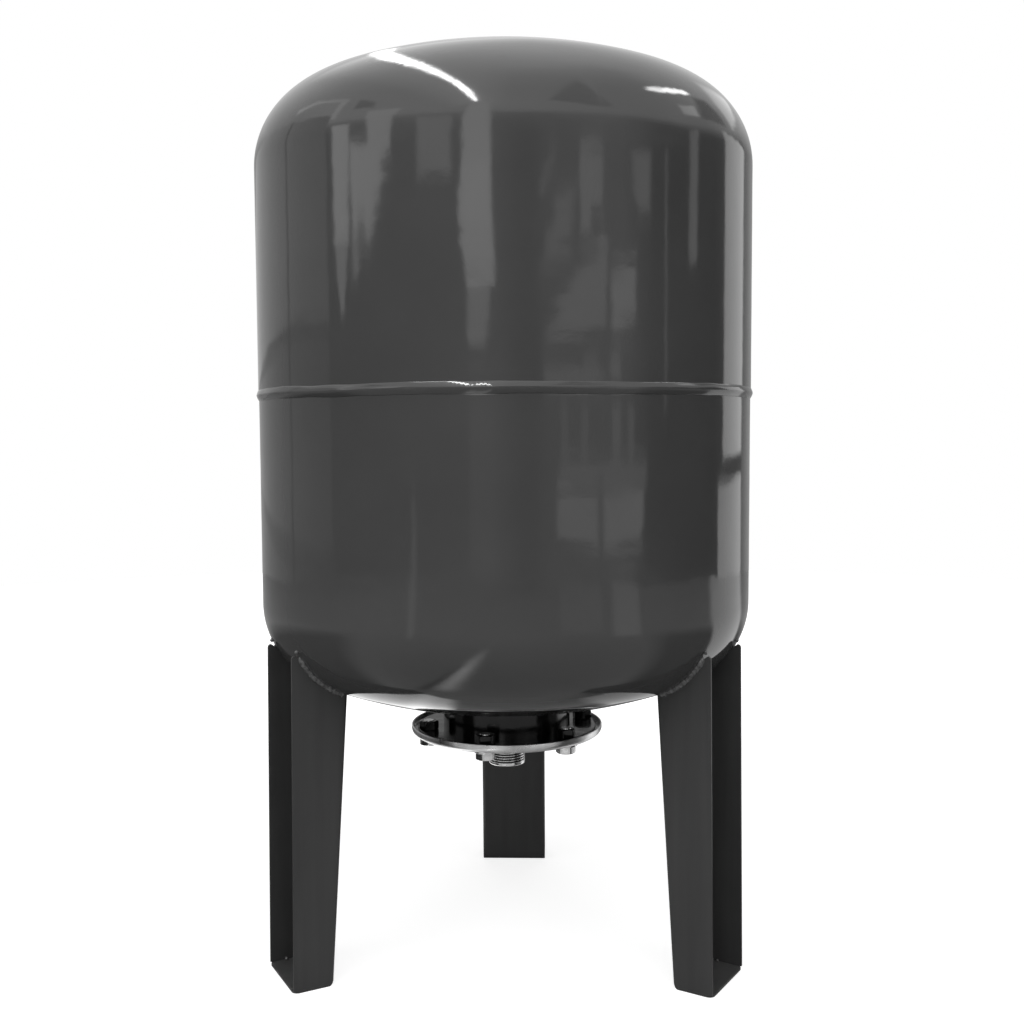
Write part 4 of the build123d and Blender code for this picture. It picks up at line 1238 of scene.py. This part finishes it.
def studio_floor(colour):
    """A round floor just under the tank, a flat grid of rings with its shine stored on it."""
    r, level, n = np.r_[span(0.01, 1.0, 67), span(1.05, 3.0, 28)][:, None], -0.02 * MM, 240
    rings = ring(r, full_turn(n), level).reshape(-1, 3)
    j = np.arange(n)
    middle = np.stack([np.full(n, len(rings)), j, (j + 1) % n, np.full(n, -1)], -1)
    faces = np.vstack([grid_faces(len(r), n, wrap_cols=True)[:, ::-1], middle])
    points = np.vstack([rings, [[0, 0, level]]])
    studio_surface(mesh_of("studio_floor", (points, faces), 0), floor_material(colour), "shine",
                   floor_shine(points[:, 0], points[:, 1]))


def lamp(name, at, size, level):
    """A soft box that faces the tank: an area lamp whose power gives the same radiance at any size."""
    data = bpy.data.lights.new(name, "AREA")
    data.shape = "RECTANGLE"
    data.size, data.size_y = size
    data.energy = level * math.pi * size[0] * size[1]
    obj = placed(name, data)
    obj.location = at
    obj.rotation_euler = (Vector((0, 0, 0.4)) - Vector(at)).to_track_quat("-Z", "Y").to_euler()
    obj.visible_camera = obj.visible_glossy = False


def studio_world(fill):
    """A plain world: white where it is seen, directly, in gloss or through glass, an even grey as light."""
    world = bpy.context.scene.world = bpy.data.worlds.new("studio")
    world.use_nodes = True
    plain = world.node_tree.nodes["Background"]
    plain.inputs["Color"].default_value = (1, 1, 1, 1)
    ray = add(world, "LightPath")
    seen = add(world, "Math", (ray, "Is Camera Ray"), (ray, "Is Glossy Ray"), operation="MAXIMUM")
    seen = add(world, "Math", seen, (ray, "Is Transmission Ray"), operation="MAXIMUM")
    feed(world, plain.inputs["Strength"], ramp(world, seen, 0, 1, fill, 1))


def studio_camera():
    """The photograph's camera: 1.1 m from the axis at 0.465 m height, looking 3.8 degrees down."""
    side, far, height, focal, photo_width = 0.03857998, 1.10539, 0.46491, 1207.7286, 1024
    pitch, roll, yaw = 0.0664045, -0.0054656, 0.00531
    psi = yaw - side
    ahead = Vector((math.sin(psi) * math.cos(pitch), math.cos(psi) * math.cos(pitch), -math.sin(pitch)))
    right = Vector((math.cos(psi), -math.sin(psi), 0))
    up = right.cross(ahead)
    across = math.cos(roll) * right + math.sin(roll) * up
    upright = -math.sin(roll) * right + math.cos(roll) * up
    data = bpy.data.cameras.new("studio_camera")
    data.sensor_width = 36.0
    data.lens = focal * data.sensor_width / photo_width
    data.clip_start, data.clip_end = 0.02, 50
    obj = placed("studio_camera", data)
    turn = Matrix((across, upright, -ahead)).transposed().to_4x4()
    obj.matrix_world = Matrix.Translation((far * math.sin(side), -far * math.cos(side), height)) @ turn
    bpy.context.scene.camera = obj


class TANK_OT_stage(bpy.types.Operator):
    """Set up the floor, the studio's walls, the soft light and the camera"""
    bl_idname = "tank.stage"
    bl_label = "Stage"
    bl_options = {"REGISTER", "UNDO"}

    def execute(self, context):
        stage = context.scene.tank_stage
        context.scene.view_settings.view_transform = "Standard"
        studio_world(stage.fill)
        studio_floor(stage.floor)
        studio_walls()
        for name, at, size, level in SOFT_BOXES:
            lamp("soft_box_" + name, at, size, level * stage.key)
        studio_camera()
        return {"FINISHED"}


class TANK_PT_panel(bpy.types.Panel):
    """The tank's makers, sizes and finishes"""
    bl_idname = "TANK_PT_panel"
    bl_label = "Well pressure tank"
    bl_space_type = "VIEW_3D"
    bl_region_type = "UI"
    bl_category = "Pressure tank"

    def draw(self, context):
        column = self.layout.column(align=True)
        for maker in MAKER_ORDER:
            column.operator(maker.bl_idname)
        for group in (context.scene.tank_sizes, context.scene.tank_finish, context.scene.tank_stage):
            box = self.layout.box()
            for name in group.__annotations__:
                box.prop(group, name)


MAKER_ORDER = (TANK_OT_shell, TANK_OT_girth_weld, TANK_OT_legs, TANK_OT_leg_welds, TANK_OT_neck,
               TANK_OT_cover_plate, TANK_OT_connector, TANK_OT_flange_bolts, TANK_OT_air_valve,
               TANK_OT_valve_pin, TANK_OT_valve_cap, TANK_OT_bladder, TANK_OT_stage)
GROUPS = (("tank_sizes", TankSizes), ("tank_finish", TankFinish), ("tank_stage", TankStage))


def register():
    for name, group in GROUPS:
        bpy.utils.register_class(group)
        setattr(bpy.types.Scene, name, bpy.props.PointerProperty(type=group))
    for maker in MAKER_ORDER:
        bpy.utils.register_class(maker)
    bpy.utils.register_class(TANK_PT_panel)


def unregister():
    bpy.utils.unregister_class(TANK_PT_panel)
    for maker in reversed(MAKER_ORDER):
        bpy.utils.unregister_class(maker)
    for name, group in reversed(GROUPS):
        delattr(bpy.types.Scene, name)
        bpy.utils.unregister_class(group)


def main():
    register()
    for maker in MAKER_ORDER:
        group, name = maker.bl_idname.split(".")
        getattr(getattr(bpy.ops, group), name)()


if __name__ == "__main__":
    main()
